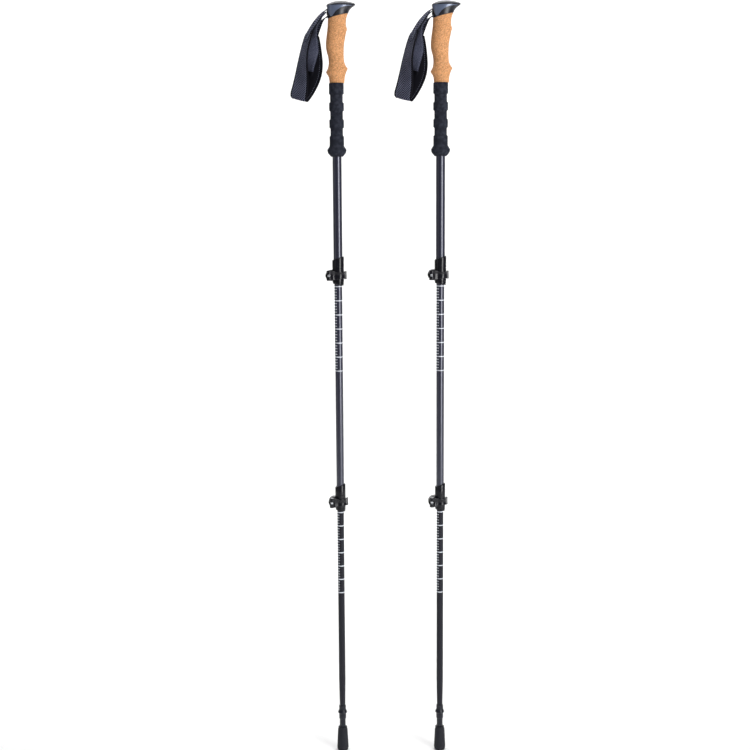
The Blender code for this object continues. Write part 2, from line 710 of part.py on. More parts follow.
def build_tubes(pole):
    upper_top = HEAD_TOP - TUBE_TOP_DEPTH
    clamped_tube(pole, "upper_tube", UPPER_TUBE_RADIUS, UPPER_CLAMP_Z, upper_top, "carbon_gloss")
    middle_top = UPPER_CLAMP_Z + TUBE_OVERLAP
    clamped_tube(pole, "middle_tube", MIDDLE_TUBE_RADIUS, LOWER_CLAMP_Z, middle_top, "carbon_gloss")

    top = LOWER_CLAMP_Z + TUBE_OVERLAP
    wide = LOWER_TUBE_RADIUS
    thin = wide - TAPER_DROP
    shoulder = FERRULE_PROFILE[0][0] * MM
    end = FERRULE_SOCKET_BOTTOM + PART_GAP
    outer = [(wide, top), (wide, TAPER_TOP), (thin, shoulder), (thin, end)]
    inner = [(r - TUBE_WALL, z) for r, z in reversed(outer)]
    pole.turned("lower_tube", outer + inner, "carbon_matt")

    for name, radius, end in (
        ("middle_plug", MIDDLE_TUBE_RADIUS, middle_top),
        ("lower_plug", LOWER_TUBE_RADIUS, top),
    ):
        spigot = radius - TUBE_WALL - PART_GAP
        seat = end + PART_GAP
        top_face = seat + PLUG_FLANGE_HEIGHT
        profile = [
            (radius - MM, top_face),
            (radius, top_face - MM),
            (radius, seat),
            (spigot, seat),
            (spigot, seat - PLUG_SPIGOT_LENGTH),
            (PLUG_BORE_RADIUS, seat - PLUG_SPIGOT_LENGTH),
            (PLUG_BORE_RADIUS, top_face),
        ]
        pole.turned(name, profile, "black_plastic")


def ear_outline(collar, reach):
    """The clamp ears' side outline: square at the collar and round at the outer end."""
    outline = [(0.0, EAR_RADIUS)]
    centre = -(collar + reach) + EAR_RADIUS
    steps = 8
    for k in range(steps + 1):
        angle = math.pi / 2 + math.pi * k / steps
        outline.append((centre + EAR_RADIUS * math.cos(angle), EAR_RADIUS * math.sin(angle)))
    outline.append((0.0, -EAR_RADIUS))
    return outline


def lever_rings(collar, cam, swing_y):
    """Upright sections of the lever: from its cam, across the collar's front, to the thumb tab."""
    middle = collar + PART_GAP + LEVER_THICKNESS / 2
    thin = LEVER_THICKNESS / 2
    tab_thin = thin * 0.8
    cam_half = CAM_HEIGHT / 2
    path = [
        (cam, swing_y, 3.6 * MM, cam_half),
        (cam + 5.6 * MM, swing_y - 0.3 * MM, 2.6 * MM, cam_half - 0.4 * MM),
    ]
    for degrees, half in LEVER_WRAP:
        angle = math.radians(degrees)
        path.append((middle * math.cos(angle), middle * math.sin(angle), thin, half * MM))
    path.append((collar + LEVER_TAB_REACH - tab_thin, LEVER_TAB_BACK, tab_thin, LEVER_WRAP[-1][1] * MM))
    rings = []
    last = len(path) - 1
    for i, (x, y, half_depth, half_height) in enumerate(path):
        ahead = path[min(i + 1, last)]
        behind = path[max(i - 1, 0)]
        along = Vector((ahead[0] - behind[0], ahead[1] - behind[1], 0.0)).normalized()
        out = Vector((-along.y, along.x, 0.0)) * half_depth
        low = Vector((x, y, -half_height))
        high = Vector((x, y, half_height))
        rings.append([high + out, high - out, low - out, low + out])
    return rings


def build_clamp(pole, name, tube, height):
    """A split collar with two ears, its bolt, barrel pin, cam lever and adjusting nut."""
    collar = tube + PART_GAP + COLLAR_WALL
    inner_tube = tube - TUBE_WALL - SLIDE_GAP
    at = (0.0, 0.0, height)
    rings = [
        circle(collar, COLLAR_ABOVE, COLLAR_TOP_SLOPE),
        circle(collar, -COLLAR_BELOW, COLLAR_BOTTOM_SLOPE),
    ]
    body = pole.link(f"{name}_collar", loft(f"{name}_collar", rings), "black_plastic", at)
    ear_face = EAR_SPLIT / 2 + EAR_THICKNESS
    ears = prism("ears", ear_outline(collar, EAR_REACH), -ear_face, ear_face)
    pole.boolean(body, pole.cutter(f"{name}_ears", ears, at), "UNION")
    past = CUT_PAST
    step = -OUTER_TUBE_END - PART_GAP
    bore = [
        circle(tube + PART_GAP, COLLAR_ABOVE + past),
        circle(tube + PART_GAP, step),
        circle(inner_tube + PART_GAP, step),
        circle(inner_tube + PART_GAP, -COLLAR_BELOW - past),
    ]
    pole.boolean(body, pole.cutter(f"{name}_bore", loft("bore", bore), at))
    half = EAR_SPLIT / 2
    split_low = (-collar - EAR_REACH - past, -half, -COLLAR_BELOW - past)
    split = block("split", split_low, (-tube / 2, half, TUBE_SLIT_ABOVE))
    pole.boolean(body, pole.cutter(f"{name}_split", split, at))

    bolt_x = -collar - BOLT_OFFSET
    cam_radius = BARREL_PIN_RADIUS + PART_GAP + CAM_WALL
    pin_y = -ear_face - PART_GAP - cam_radius
    far = ear_face + past
    hole = cylinder("hole", BOLT_RADIUS + PART_GAP, (bolt_x, -far, 0), (bolt_x, far, 0))
    pole.boolean(body, pole.cutter(f"{name}_bolt_hole", hole, at))

    nut_end = ear_face + PART_GAP + NUT_HEIGHT
    head_under = -pin_y + BARREL_PIN_RADIUS + PART_GAP
    profile = [
        (0.0, head_under + BOLT_HEAD_HEIGHT),
        (BOLT_HEAD_RADIUS * 0.75, head_under + BOLT_HEAD_HEIGHT),
        (BOLT_HEAD_RADIUS, head_under + BOLT_HEAD_HEIGHT * 0.7),
        (BOLT_HEAD_RADIUS, head_under),
        (BOLT_RADIUS, head_under),
        (BOLT_RADIUS, -nut_end - BOLT_PAST_NUT),
        (0.0, -nut_end - BOLT_PAST_NUT),
    ]
    lies_along_y = (math.pi / 2, 0.0, 0.0)
    pole.turned(f"{name}_bolt", profile, "steel", SMALL_SIDES, False, (bolt_x, 0.0, height), lies_along_y)

    pin_half = CAM_HEIGHT / 2 - BARREL_PIN_INSET
    pin_place = (bolt_x, pin_y, height)
    pin_mesh = cylinder("pin", BARREL_PIN_RADIUS, (0, 0, -pin_half), (0, 0, pin_half))
    pin = pole.link(f"{name}_pin", pin_mesh, "steel", pin_place)
    cross = cylinder("cross", BOLT_RADIUS + PART_GAP, (0, -past, 0), (0, past, 0))
    pole.boolean(pin, pole.cutter(f"{name}_pin_hole", cross, pin_place))

    axis = Vector((bolt_x, pin_y, 0.0))
    rings = [[point - axis for point in ring] for ring in lever_rings(collar, bolt_x, pin_y)]
    lever = pole.link(f"{name}_lever", loft(f"{name}_lever", rings), "black_plastic", pin_place)
    cam_half = CAM_HEIGHT / 2
    cam = cylinder("cam", cam_radius, (0, 0, -cam_half), (0, 0, cam_half), 16)
    pole.boolean(lever, pole.cutter(f"{name}_cam", cam, pin_place), "UNION")
    pin_bore = cylinder("pin_bore", BARREL_PIN_RADIUS + PART_GAP, (0, 0, -past), (0, 0, past))
    pole.boolean(lever, pole.cutter(f"{name}_pin_bore", pin_bore, pin_place))
    fork_half = BOLT_HEAD_RADIUS + PART_GAP
    fork = cylinder("fork", cam_radius + 0.5 * MM, (0, 0, -fork_half), (0, 0, fork_half), 16)
    pole.boolean(lever, pole.cutter(f"{name}_fork", fork, pin_place))

    nut_ring = []
    sides = NUT_FLUTES * 4
    for k in range(sides):
        angle = 2 * math.pi * k / sides
        radius = NUT_RADIUS - NUT_FLUTE_DEPTH / 2 * (1 - math.cos(NUT_FLUTES * angle))
        nut_ring.append((radius * math.cos(angle), radius * math.sin(angle)))
    nut_start = ear_face + PART_GAP
    nut = prism(f"{name}_nut", nut_ring, nut_start, nut_start + NUT_HEIGHT)
    nut_place = (bolt_x, 0.0, height)
    nut = pole.link(f"{name}_nut", nut, "black_plastic", nut_place)
    nut_bore = cylinder("nut_bore", BOLT_RADIUS + PART_GAP, (0, 0, 0), (0, nut_end + past, 0))
    pole.boolean(nut, pole.cutter(f"{name}_nut_bore", nut_bore, nut_place))


def build_tip(pole):
    """Ferrule with its two collars, carbide tip and pull-off rubber cap."""
    socket = FERRULE_SOCKET_RADIUS
    outer = [(socket + r * MM, z * MM) for z, r in FERRULE_PROFILE]
    top = outer[0][1]
    bottom = outer[-1][1]
    stem = TIP_STEM_RADIUS + PART_GAP
    stem_top = TIP_STEM_TOP + PART_GAP
    inner = [(stem, bottom), (stem, stem_top), (0.0, stem_top)]
    upper = [(0.0, FERRULE_SOCKET_BOTTOM), (socket, FERRULE_SOCKET_BOTTOM), (socket, top)]
    pole.turned("tip_ferrule", upper + outer + inner, "black_plastic", TIP_SIDES, False)

    head = [(r * MM, z * MM) for z, r in TIP_PROFILE]
    tip = [(0.0, TIP_STEM_TOP), (TIP_STEM_RADIUS, TIP_STEM_TOP), (TIP_STEM_RADIUS, head[0][1])]
    cup = [(head[-1][0] * 0.7, head[-1][1]), (0.0, head[-1][1] + MM)]
    pole.turned("carbide_tip", tip + head + cup, "carbide", SMALL_SIDES, False)

    shell = [(socket + r * MM, z * MM) for z, r in CAP_PROFILE]
    mouth = shell[0][1]
    gap = PART_GAP
    covered = [p for p in reversed(outer) if p[1] < mouth + gap]
    bore = [(0.0, CAP_FLOOR), (head[0][0] + 2 * gap, CAP_FLOOR), (covered[0][0] + gap, covered[0][1] - gap)]
    bore += [(r + gap, z) for r, z in covered[1:]]
    pole.turned("rubber_cap", bore + shell + [(0.0, 0.0)], "rubber", TIP_SIDES, False)


def build_pole(side, offset, parts, cutters, materials):
    pole = Pole(side, offset, parts, cutters, materials)
    build_head(pole)
    build_grip(pole)
    build_strap(pole)
    build_tubes(pole)
    build_clamp(pole, "upper_clamp", UPPER_TUBE_RADIUS, UPPER_CLAMP_Z)
    build_clamp(pole, "lower_clamp", MIDDLE_TUBE_RADIUS, LOWER_CLAMP_Z)
    build_tip(pole)


def main():
    clear_scene()
    parts = new_collection(COLLECTION_NAME)
    cutters = new_collection("cutters")
    materials = {name: make_material(name) for name in FINISHES}
    for side, offset in (("left", 0.0), ("right", POLE_SPACING)):
        build_pole(side, offset, parts, cutters, materials)


main()
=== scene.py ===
"""Fine pieces, finishes and a plain studio for a pair of telescopic trekking poles.

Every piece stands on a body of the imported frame. Shapes are in metres, on the axis of one pole, and each is
placed once on each pole. Depths are measured down from the top of the head.
"""

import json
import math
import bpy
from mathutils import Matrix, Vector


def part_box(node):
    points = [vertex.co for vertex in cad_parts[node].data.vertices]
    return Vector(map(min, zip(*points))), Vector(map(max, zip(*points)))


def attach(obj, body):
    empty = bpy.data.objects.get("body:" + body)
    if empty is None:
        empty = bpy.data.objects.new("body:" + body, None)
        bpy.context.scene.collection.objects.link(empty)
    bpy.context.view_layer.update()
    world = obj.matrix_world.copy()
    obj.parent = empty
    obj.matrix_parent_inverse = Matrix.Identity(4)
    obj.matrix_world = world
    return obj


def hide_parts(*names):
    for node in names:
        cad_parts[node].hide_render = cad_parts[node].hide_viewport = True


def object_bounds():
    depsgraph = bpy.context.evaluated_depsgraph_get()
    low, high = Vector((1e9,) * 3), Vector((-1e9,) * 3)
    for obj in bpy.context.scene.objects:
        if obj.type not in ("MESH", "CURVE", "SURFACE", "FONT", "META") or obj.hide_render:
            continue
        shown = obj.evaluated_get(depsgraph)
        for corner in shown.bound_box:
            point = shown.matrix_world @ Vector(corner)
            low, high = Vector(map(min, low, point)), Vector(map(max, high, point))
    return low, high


bl_info = {
    "name": "Trekking Poles",
    "version": (1, 0, 0),
    "blender": (4, 5, 0),
    "location": "View3D > Sidebar > Poles",
    "description": "Builds the grips, wrist straps, carbon tubes, lever clamps and tips round a packed frame",
    "category": "Object",
}

import bmesh
import bpy
from mathutils import Matrix, Vector, noise

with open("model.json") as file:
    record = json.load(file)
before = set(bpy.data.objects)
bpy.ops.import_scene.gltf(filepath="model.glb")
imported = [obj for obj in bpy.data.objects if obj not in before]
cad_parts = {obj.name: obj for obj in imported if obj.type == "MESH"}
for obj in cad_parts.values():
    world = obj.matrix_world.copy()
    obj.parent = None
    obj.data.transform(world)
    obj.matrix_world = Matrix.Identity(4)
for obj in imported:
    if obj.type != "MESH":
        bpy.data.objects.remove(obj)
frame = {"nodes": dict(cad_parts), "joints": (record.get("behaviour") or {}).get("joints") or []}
CAD_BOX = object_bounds()

MM = 0.001
SIDES = ("left", "right")
SMOOTH_ANGLE = math.radians(34)
BEVEL_ANGLE = math.radians(42)
SLIVER = 0.004 * MM
AXIS_LIMIT = 1e-7
PAST = 40.0 * MM  # how far a cutting tool runs past what it cuts
WORLD_LIGHT = 0.17
CAMERA_MARGIN = 1.0025
CARBON_SHEEN = (0.5, 0.55, 1.0, 1.0)
RUN_MAP = "run"  # UV map of a fabric piece: metres along it and across it

# Grip sections in mm: depth, rear x, front x, half width, egg factor, slope of the section's plane
HEAD_SECTIONS = (
    (25.6, -13.6, 21.8, 13.6, 0.05, 0.255), (20.5, -14.2, 23.6, 14.4, 0.09, 0.19),
    (15.5, -15.2, 26.6, 15.2, 0.14, 0.12), (11.0, -16.0, 30.2, 15.9, 0.19, 0.05),
    (7.0, -15.5, 33.6, 16.1, 0.22, 0.0),
)
CAP_SECTIONS = (
    (6.7, -15.4, 33.8, 16.0, 0.22, 0.0), (5.2, -13.8, 33.9, 15.1, 0.22, 0.0),
    (3.4, -10.2, 31.2, 13.2, 0.2, 0.0), (1.7, -5.6, 25.6, 10.0, 0.15, 0.0),
    (0.5, -0.5, 18.5, 6.2, 0.1, 0.0), (0.0, 4.5, 12.5, 2.6, 0.0, 0.0),
)
CORK_SECTIONS = (
    (25.9, -13.3, 21.2, 13.3, 0.05, 0.255), (32.3, -13.5, 18.6, 13.1, 0.05, 0.2),
    (40.3, -13.9, 17.7, 13.0, 0.05, 0.12), (44.3, -14.2, 18.6, 13.1, 0.05, 0.08),
    (47.8, -14.6, 19.5, 13.2, 0.05, 0.05), (51.3, -15.0, 18.2, 13.3, 0.05, 0.02),
    (61.3, -16.3, 16.1, 13.4, 0.03, 0.0), (73.3, -17.2, 14.1, 13.2, 0.0, 0.0),
    (84.3, -15.8, 13.6, 12.8, 0.0, 0.0), (93.3, -13.4, 13.6, 12.6, 0.0, 0.0),
    (102.8, -12.7, 14.6, 12.6, 0.0, 0.0), (108.8, -13.4, 17.6, 13.1, 0.03, 0.0),
    (112.7, -14.6, 20.0, 13.8, 0.05, 0.0), (116.3, -16.4, 18.4, 14.0, 0.0, 0.0),
    (119.3, -17.2, 17.1, 13.9, 0.0, 0.0), (125.3, -13.6, 15.5, 12.9, 0.0, 0.0),
    (131.3, -12.1, 14.6, 12.4, 0.0, 0.0), (136.8, -11.7, 14.3, 12.3, 0.0, 0.0),
)
HEAD_SIDES = 88
CORK_SIDES = 96
SPIGOT_TOP_DEPTH = 23.0 * MM
FOAM_SHOULDER = 1.2 * MM
FOAM_ROUNDING = 1.3 * MM
# Foam sleeve in mm: depth and radius
FOAM_PROFILE = (
    (137.1, 12.8), (155.0, 12.8), (156.4, 10.95), (169.2, 10.95), (170.6, 12.8), (183.2, 12.8),
    (184.6, 10.9), (198.0, 10.9), (199.4, 12.65), (212.2, 12.65), (213.6, 10.8), (226.0, 10.8),
    (227.4, 12.55), (243.8, 12.55), (250.2, 16.75), (255.6, 15.6), (261.8, 10.4),
)

# Inlay on each side of the head, in mm: depth and the x of its edge
INLAY_SWEEP = ((7.9, 27.6), (8.3, 28.6), (8.9, 25.0), (9.6, 19.0), (11.6, 11.5), (14.6, 5.5), (18.4, 0.5),
               (22.8, -3.2), (26.0, -5.8))
INLAY_REAR = ((7.9, -17.5), (12.5, -17.5), (17.4, -12.8), (22.6, -10.6), (26.0, -8.2))
INLAY_PROUD = 0.2 * MM
INLAY_DEPTH = 1.35 * MM
INLAY_GAP = 0.3 * MM
INLAY_INNER = 8.4 * MM  # the inlay starts this far from the middle plane
INLAY_ROUNDING = 0.25 * MM
INLAY_COLUMNS = 22
RECESS_PAST = 3.0 * MM  # how far the tool for the recess stands out of the skin

# Strap and its pocket
STRAP_PIN = Vector((-6.5, 0.0, -19.0)) * MM  # axis of its cross pin, from the top of the head
STRAP_SWING = math.radians(15)
PIN_HOLE_RADIUS = 1.8 * MM
POCKET_CLEARANCE = 0.5 * MM
POCKET_STRAND_ROOM = 1.3 * MM
POCKET_REACH = 16.0 * MM
POCKET_FLOOR_DROP = 3.0 * MM
WEB_WIDTH = 13.0 * MM
WEB_THICKNESS = 1.4 * MM
WEB_BEND = 5.0
FLAP_THICKNESS = 1.2 * MM
HEM_LENGTH = 7.0 * MM
HEM_THICKNESS = 2.2 * MM
LOOP_THICKNESS = 3.0 * MM
LOOP_COLUMNS = 18
OVER_LOOP = LOOP_THICKNESS / 2 * 0.8  # height of the loop's face where the webbing lies on it
WEB_OVERLAP = 15.0 * MM  # length of webbing sewn on each end of the loop
TACK_SPAN = (1.5 * MM, 14.5 * MM)
SEAM_SHARE = 0.74  # of the loop's half width
LOOP_SEAM_START = 4.0 * MM
FLAP_SEAM_START = 26.0 * MM
FLAP_SEAM_END = 8.0 * MM
STITCH_ARCH = 0.22 * MM
THREAD_SIDES = 6
# In mm from the pin's axis: middle line and the way across it
STRAND_OUT = (
    (-3.5, 0.0, 5.5, 0.0, 1.0, 0.0), (-8.0, 0.0, 5.3, -0.03, 1.0, 0.03),
    (-12.5, 0.0, 2.6, -0.16, 0.97, 0.12), (-17.0, 0.0, -2.4, -0.34, 0.9, 0.25),
    (-23.5, 0.2, -10.5, -0.5, 0.8, 0.35), (-30.5, 0.2, -20.0, -0.62, 0.72, 0.3),
)
STRAND_BACK = (
    (-3.5, 0.0, -5.7, 0.0, 1.0, 0.0), (-7.5, 0.0, -6.8, 0.0, 1.0, 0.0),
    (-12.5, 0.0, -9.6, -0.15, 0.98, 0.1), (-17.5, 0.0, -15.2, -0.34, 0.92, 0.2),
    (-21.6, 0.0, -23.5, -0.46, 0.86, 0.2),
)
# In mm from the pin's axis: both edges
LOOP_EDGES = (
    ((-45.0, 6.5, -33.5), (-31.5, -7.0, -31.5)), ((-49.5, 10.0, -45.0), (-35.5, -11.0, -44.0)),
    ((-53.5, 13.0, -58.0), (-39.5, -13.5, -59.0)), ((-57.0, 14.3, -71.0), (-41.5, -14.0, -71.5)),
    ((-60.3, 14.3, -84.0), (-42.2, -13.0, -84.5)), ((-65.3, 13.5, -105.0), (-41.6, -10.5, -105.0)),
    ((-70.0, 11.5, -123.0), (-41.8, -8.5, -124.0)), ((-72.6, 10.5, -132.0), (-43.4, -8.0, -138.0)),
    ((-72.6, 9.6, -138.8), (-44.4, -8.0, -146.4)), ((-69.4, 9.0, -141.4), (-42.8, -8.2, -149.2)),
    ((-65.2, 9.4, -137.6), (-39.4, -8.0, -145.8)), ((-59.0, 11.5, -126.0), (-33.2, -6.5, -137.0)),
    ((-54.5, 12.3, -111.0), (-25.0, -6.0, -122.5)), ((-51.0, 12.3, -95.0), (-19.0, -6.0, -107.0)),
    ((-48.5, 12.3, -79.0), (-16.5, -6.5, -91.0)), ((-45.5, 12.0, -65.0), (-16.9, -7.5, -76.5)),
    ((-41.0, 10.5, -50.0), (-18.9, -8.0, -58.5)), ((-35.0, 8.0, -37.0), (-22.0, -7.5, -40.0)),
)
FLAP_EDGES = (
    ((-9.6, 6.4, 1.0), (-9.6, -6.4, 1.0)), ((-15.0, 6.4, -4.6), (-14.8, -6.4, -4.8)),
    ((-21.4, 6.2, -12.4), (-18.8, -6.6, -14.4)), ((-30.6, 5.2, -22.8), (-25.0, -7.8, -24.8)),
    ((-39.0, 3.2, -35.8), (-25.6, -7.6, -39.2)), ((-43.4, 0.4, -48.8), (-23.8, -6.4, -52.4)),
    ((-44.8, -1.6, -61.6), (-23.4, -5.0, -65.2)), ((-46.0, 0.0, -77.0), (-27.2, -5.8, -80.6)),
    ((-46.2, 3.4, -90.0), (-31.4, -7.6, -93.4)), ((-46.0, 5.2, -102.0), (-34.2, -8.8, -106.0)),
)
BINDING_HALF_WIDTH = 1.8 * MM
BINDING_HALF_THICKNESS = 1.35 * MM

# Tubes and clamps
PART_GAP = 0.3 * MM
TUBE_WALL = 0.7 * MM
SLIT_HALF = 0.8 * MM
TAPER_TOP = 137.0 * MM
TAPER_BOTTOM = 86.0 * MM
TIP_TAPER = 0.9 * MM  # how much less than the tube's radius the tip end has
FIRST_MARK_BELOW = 1.2 * MM
INK_PROUD = 0.05 * MM
INK_SUNK = 0.1 * MM
TICK_HEIGHT = 1.1 * MM
TICK_SPAN = (math.radians(168), math.radians(246))
COLLAR_WALL = 2.1 * MM
# Outside of a collar, in mm: height, how far inside the full radius, slope
COLLAR_STATIONS = (
    (30.0, 0.75, 0.336), (29.2, 0.15, 0.33), (28.6, 0.0, 0.32), (13.0, 0.0, 0.0), (12.7, 0.35, 0.0),
    (12.1, 0.35, 0.0), (11.8, 0.0, 0.0), (-10.4, 0.0, -0.06), (-10.8, 0.55, -0.08), (-11.7, 0.55, -0.1),
    (-12.0, 0.15, -0.11), (-13.5, 0.25, -0.15), (-13.8, 0.85, -0.16), (-14.5, 0.85, -0.17),
    (-14.8, 0.55, -0.17), (-16.1, 0.75, -0.19), (-16.5, 1.15, -0.19),
)
OUTER_TUBE_END = 12.0 * MM
EAR_RADIUS = 9.6 * MM
EAR_REACH = 12.0 * MM
EAR_THICKNESS = 5.6 * MM
EAR_ROUNDING = 0.7 * MM
EAR_SPLIT = 1.6 * MM
SPLIT_TOP = 14.0 * MM
BOLT_RADIUS = 1.4 * MM
BOLT_HEAD_RADIUS = 2.0 * MM
BOLT_HEAD = ((0.0, 0.5), (0.85, 0.5), (0.95, 1.15), (1.3, 1.2), (1.8, 0.95), (2.0, 0.6))  # radius, height in mm
BOLT_TAIL = 0.8 * MM
BOLT_TURNS = 8
THREAD_DEPTH = 0.14 * MM
BARREL_RADIUS = 2.6 * MM
CAM_WALL = 1.6 * MM
CAM_HEIGHT = 17.6 * MM
LEVER_THICKNESS = 2.7 * MM
LEVER_RIM = 0.8 * MM
LEVER_TAB_REACH = 5.0 * MM
# Degrees round the collar and half height in mm
LEVER_WRAP = ((-112, 7.4), (-90, 6.4), (-65, 5.9), (-40, 5.9), (-20, 6.4), (-6, 7.2))
NUT_RADIUS = 4.4 * MM
NUT_HEIGHT = 3.5 * MM
NUT_FLUTES = 6
NUT_STATIONS = ((0.0, 0.4), (0.4, 0.0), (3.0, 0.0), (3.35, 0.2), (3.5, 0.6))  # height and inset in mm

# Tip, in mm: height and how far the surface lies outside the socket of the lower tube
FERRULE_PROFILE = (
    (86.0, 1.0), (79.2, 0.9), (74.4, 2.95), (73.2, 2.95), (71.2, 1.1), (61.8, 1.05), (61.2, 0.05),
    (45.0, 0.05), (15.0, -0.9), (14.0, -1.2),
)
FOOT_PROFILE = (
    (45.0, 2.7), (41.6, 2.9), (40.6, 3.5), (7.0, 5.15), (2.0, 4.6), (0.0, 2.4),
)
FERRULE_SOCKET_BOTTOM = 64.0 * MM
FOOT_FLOOR = 5.6 * MM
FOOT_FLOOR_RADIUS = 3.9 * MM
CARBIDE_STEM_RADIUS = 2.5 * MM
CARBIDE_STEM_TOP = 26.3 * MM

# CAD pieces that stay in view, with their finishes
FITTINGS = {
    "strap_pin": "bright_steel",
    "strap_wedge": "inner_plastic",
    "middle_plug": "inner_plastic",
    "lower_plug": "inner_plastic",
    "upper_clamp_pin": "bright_steel",
    "lower_clamp_pin": "bright_steel",
    "carbide_tip": "dull_carbide",
}


def size_property(name, description, default, low=0.0):
    return bpy.props.FloatProperty(
        name=name, description=description, default=default, min=low, subtype="DISTANCE", unit="LENGTH"
    )


def colour_property(name, description, default):
    return bpy.props.FloatVectorProperty(
        name=name, description=description, default=default, size=3, min=0.0, max=1.0, subtype="COLOR"
    )


def power_property(name, description, default):
    return bpy.props.FloatProperty(name=name, description=description, default=default, unit="POWER")


class GripSettings(bpy.types.PropertyGroup):
    """Colours and grain of the handles."""

    cork_colour: colour_property("Cork", "Middle tone of the cork", (0.83, 0.42, 0.19))
    cork_granule: size_property("Granule", "Width of a cork granule", 1.5 * MM, 0.2 * MM)
    foam_colour: colour_property("Foam", "Colour of the foam sleeve", (0.017, 0.019, 0.028))
    inlay_colour: colour_property("Inlay", "Colour of the head's inlay", (0.125, 0.155, 0.24))
    head_colour: colour_property("Head", "Colour of the moulded head", (0.009, 0.009, 0.014))


class TubeSettings(bpy.types.PropertyGroup):
    """Weave and length marks of the tubes."""

    tow_width: size_property("Tow", "Width of one carbon tow", 1.1 * MM, 0.2 * MM)
    mark_spacing: size_property("Mark spacing", "Distance between two ring marks", 25.0 * MM, 1.0 * MM)
    mark_height: size_property("Mark height", "Height of a ring mark", 1.5 * MM, 0.1 * MM)
    mark_count: bpy.props.IntProperty(name="Marks", description="Ring marks on a tube", default=7, min=1)
    ticks_between: bpy.props.IntProperty(
        name="Ticks", description="Short ticks between marks", default=4, min=0
    )
    ink_colour: colour_property("Ink", "Colour of the printed marks", (0.80, 0.84, 0.92))


class StrapSettings(bpy.types.PropertyGroup):
    """Yarn, binding and stitching of the wrist straps."""

    yarn_colour: colour_property("Yarn", "Light yarn of the patterned weave", (0.23, 0.245, 0.36))
    ground_colour: colour_property("Ground", "Dark yarn of the patterned weave", (0.008, 0.009, 0.016))
    lining_colour: colour_property("Lining", "Brushed lining and edge binding", (0.006, 0.006, 0.009))
    thread_colour: colour_property("Thread", "Sewing thread", (0.22, 0.24, 0.32))
    stitch_length: size_property("Stitch", "Length of one stitch", 2.4 * MM, 0.5 * MM)
    yarn_pitch: size_property("Pitch", "Spacing of the weave's diagonal", 1.9 * MM, 0.2 * MM)


class ClampSettings(bpy.types.PropertyGroup):
    """Finish of the clamps."""

    plastic_colour: colour_property("Plastic", "Colour of collars and levers", (0.0045, 0.0045, 0.008))
    steel_colour: colour_property("Steel", "Colour of bolts and pins", (0.78, 0.80, 0.84))


class StudioSettings(bpy.types.PropertyGroup):
    """Floor, lights and camera."""

    camera_distance: size_property("Distance", "From the poles to the camera, level", 2.2, 0.5)
    camera_height: size_property("Height", "Camera above the floor", 1.025, 0.0)
    camera_aside: size_property("Aside", "Camera to the left of the pair's middle", 26.2 * MM, 0.0)
    camera_roll: bpy.props.FloatProperty(
        name="Roll", description="Lean of the camera to its right", default=math.radians(0.345), subtype="ANGLE"
    )
    key_power: power_property("Key", "Power of the key light", 62.0)
    top_power: power_property("Top", "Power of the top light", 13.0)
    side_power: power_property("Side", "Power of the light from the left", 2.5)
    wall_power: power_property("Wall", "Light on the wall", 80.0)
    ground_power: power_property("Ground", "Light on the floor", 40.0)
    floor_colour: colour_property("Floor", "Colour of the floor", (0.93, 0.93, 0.93))


# Places, read from the frame


def axis_x(side):
    low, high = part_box(f"{side}_lower_tube")
    return (low.x + high.x) / 2


def head_top():
    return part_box("left_head_cap")[1].z


def tube_radius(node):
    low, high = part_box(node)
    return (high.x - low.x) / 2


def hinge_place(name):
    """A joint's place on the left pole."""
    return next(Vector(j["pos_m"]) for j in frame["joints"] if j["name"] == name)


# Shapes


def mesh_of(name, points, faces, run=None):
    """A mesh with its faces turned outwards, shaded smooth between sharp edges."""
    mesh = bpy.data.meshes.new(name)
    mesh.from_pydata([tuple(p) for p in points], [], faces)
    shape = bmesh.new()
    shape.from_mesh(mesh)
    bmesh.ops.recalc_face_normals(shape, faces=shape.faces)
    shape.to_mesh(mesh)
    shape.free()
    mesh.shade_smooth()
    mesh.set_sharp_from_angle(angle=SMOOTH_ANGLE)
    if run is not None:
        layer = mesh.uv_layers.new(name=RUN_MAP)
        for loop in mesh.loops:
            layer.data[loop.index].uv = run[loop.vertex_index]
    return mesh


def loft_faces(count, rings, closed):
    """Faces between rings of equal count, with the two ends filled unless the rings close on themselves."""
    faces = []
    for i in range(rings if closed else rings - 1):
        here = i * count
        there = ((i + 1) % rings) * count
        for k in range(count):
            after = (k + 1) % count
            faces.append((here + k, here + after, there + after, there + k))
    if not closed:
        faces.append(tuple(range(count)))
        faces.append(tuple(range((rings - 1) * count, rings * count)))
    return faces


def loft(name, rings, closed=False, run=None):
    points = [p for ring in rings for p in ring]
    return mesh_of(name, points, loft_faces(len(rings[0]), len(rings), closed), run)


def lofts(name, tubes, run=None):
    """Several lofts with filled ends in one mesh."""
    points, faces = [], []
    for rings in tubes:
        start = len(points)
        points += [p for ring in rings for p in ring]
        faces += [tuple(start + c for c in face) for face in loft_faces(len(rings[0]), len(rings), False)]
    return mesh_of(name, points, faces, run)


def slab(name, outer, inner, columns, run=None):
    """A closed slab between two grids of points, given row by row, with a wall round its rim."""
    wide = columns + 1
    offset = len(outer)
    rows = offset // wide
    faces = []
    for i in range(rows - 1):
        for k in range(columns):
            a = i * wide + k
            faces.append((a, a + 1, a + wide + 1, a + wide))
            faces.append(tuple(offset + c for c in (a, a + wide, a + wide + 1, a + 1)))
    rim = list(range(wide)) + [i * wide + columns for i in range(1, rows)]
    rim += [(rows - 1) * wide + k for k in range(columns - 1, -1, -1)]
    rim += [i * wide for i in range(rows - 2, 0, -1)]
    for here, there in zip(rim, rim[1:] + rim[:1]):
        faces.append((here, there, offset + there, offset + here))
    return mesh_of(name, outer + inner, faces, run)


def heading(points, i):
    """The way a path goes at one of its points, from the point before to the point after."""
    return points[min(i + 1, len(points) - 1)] - points[max(i - 1, 0)]


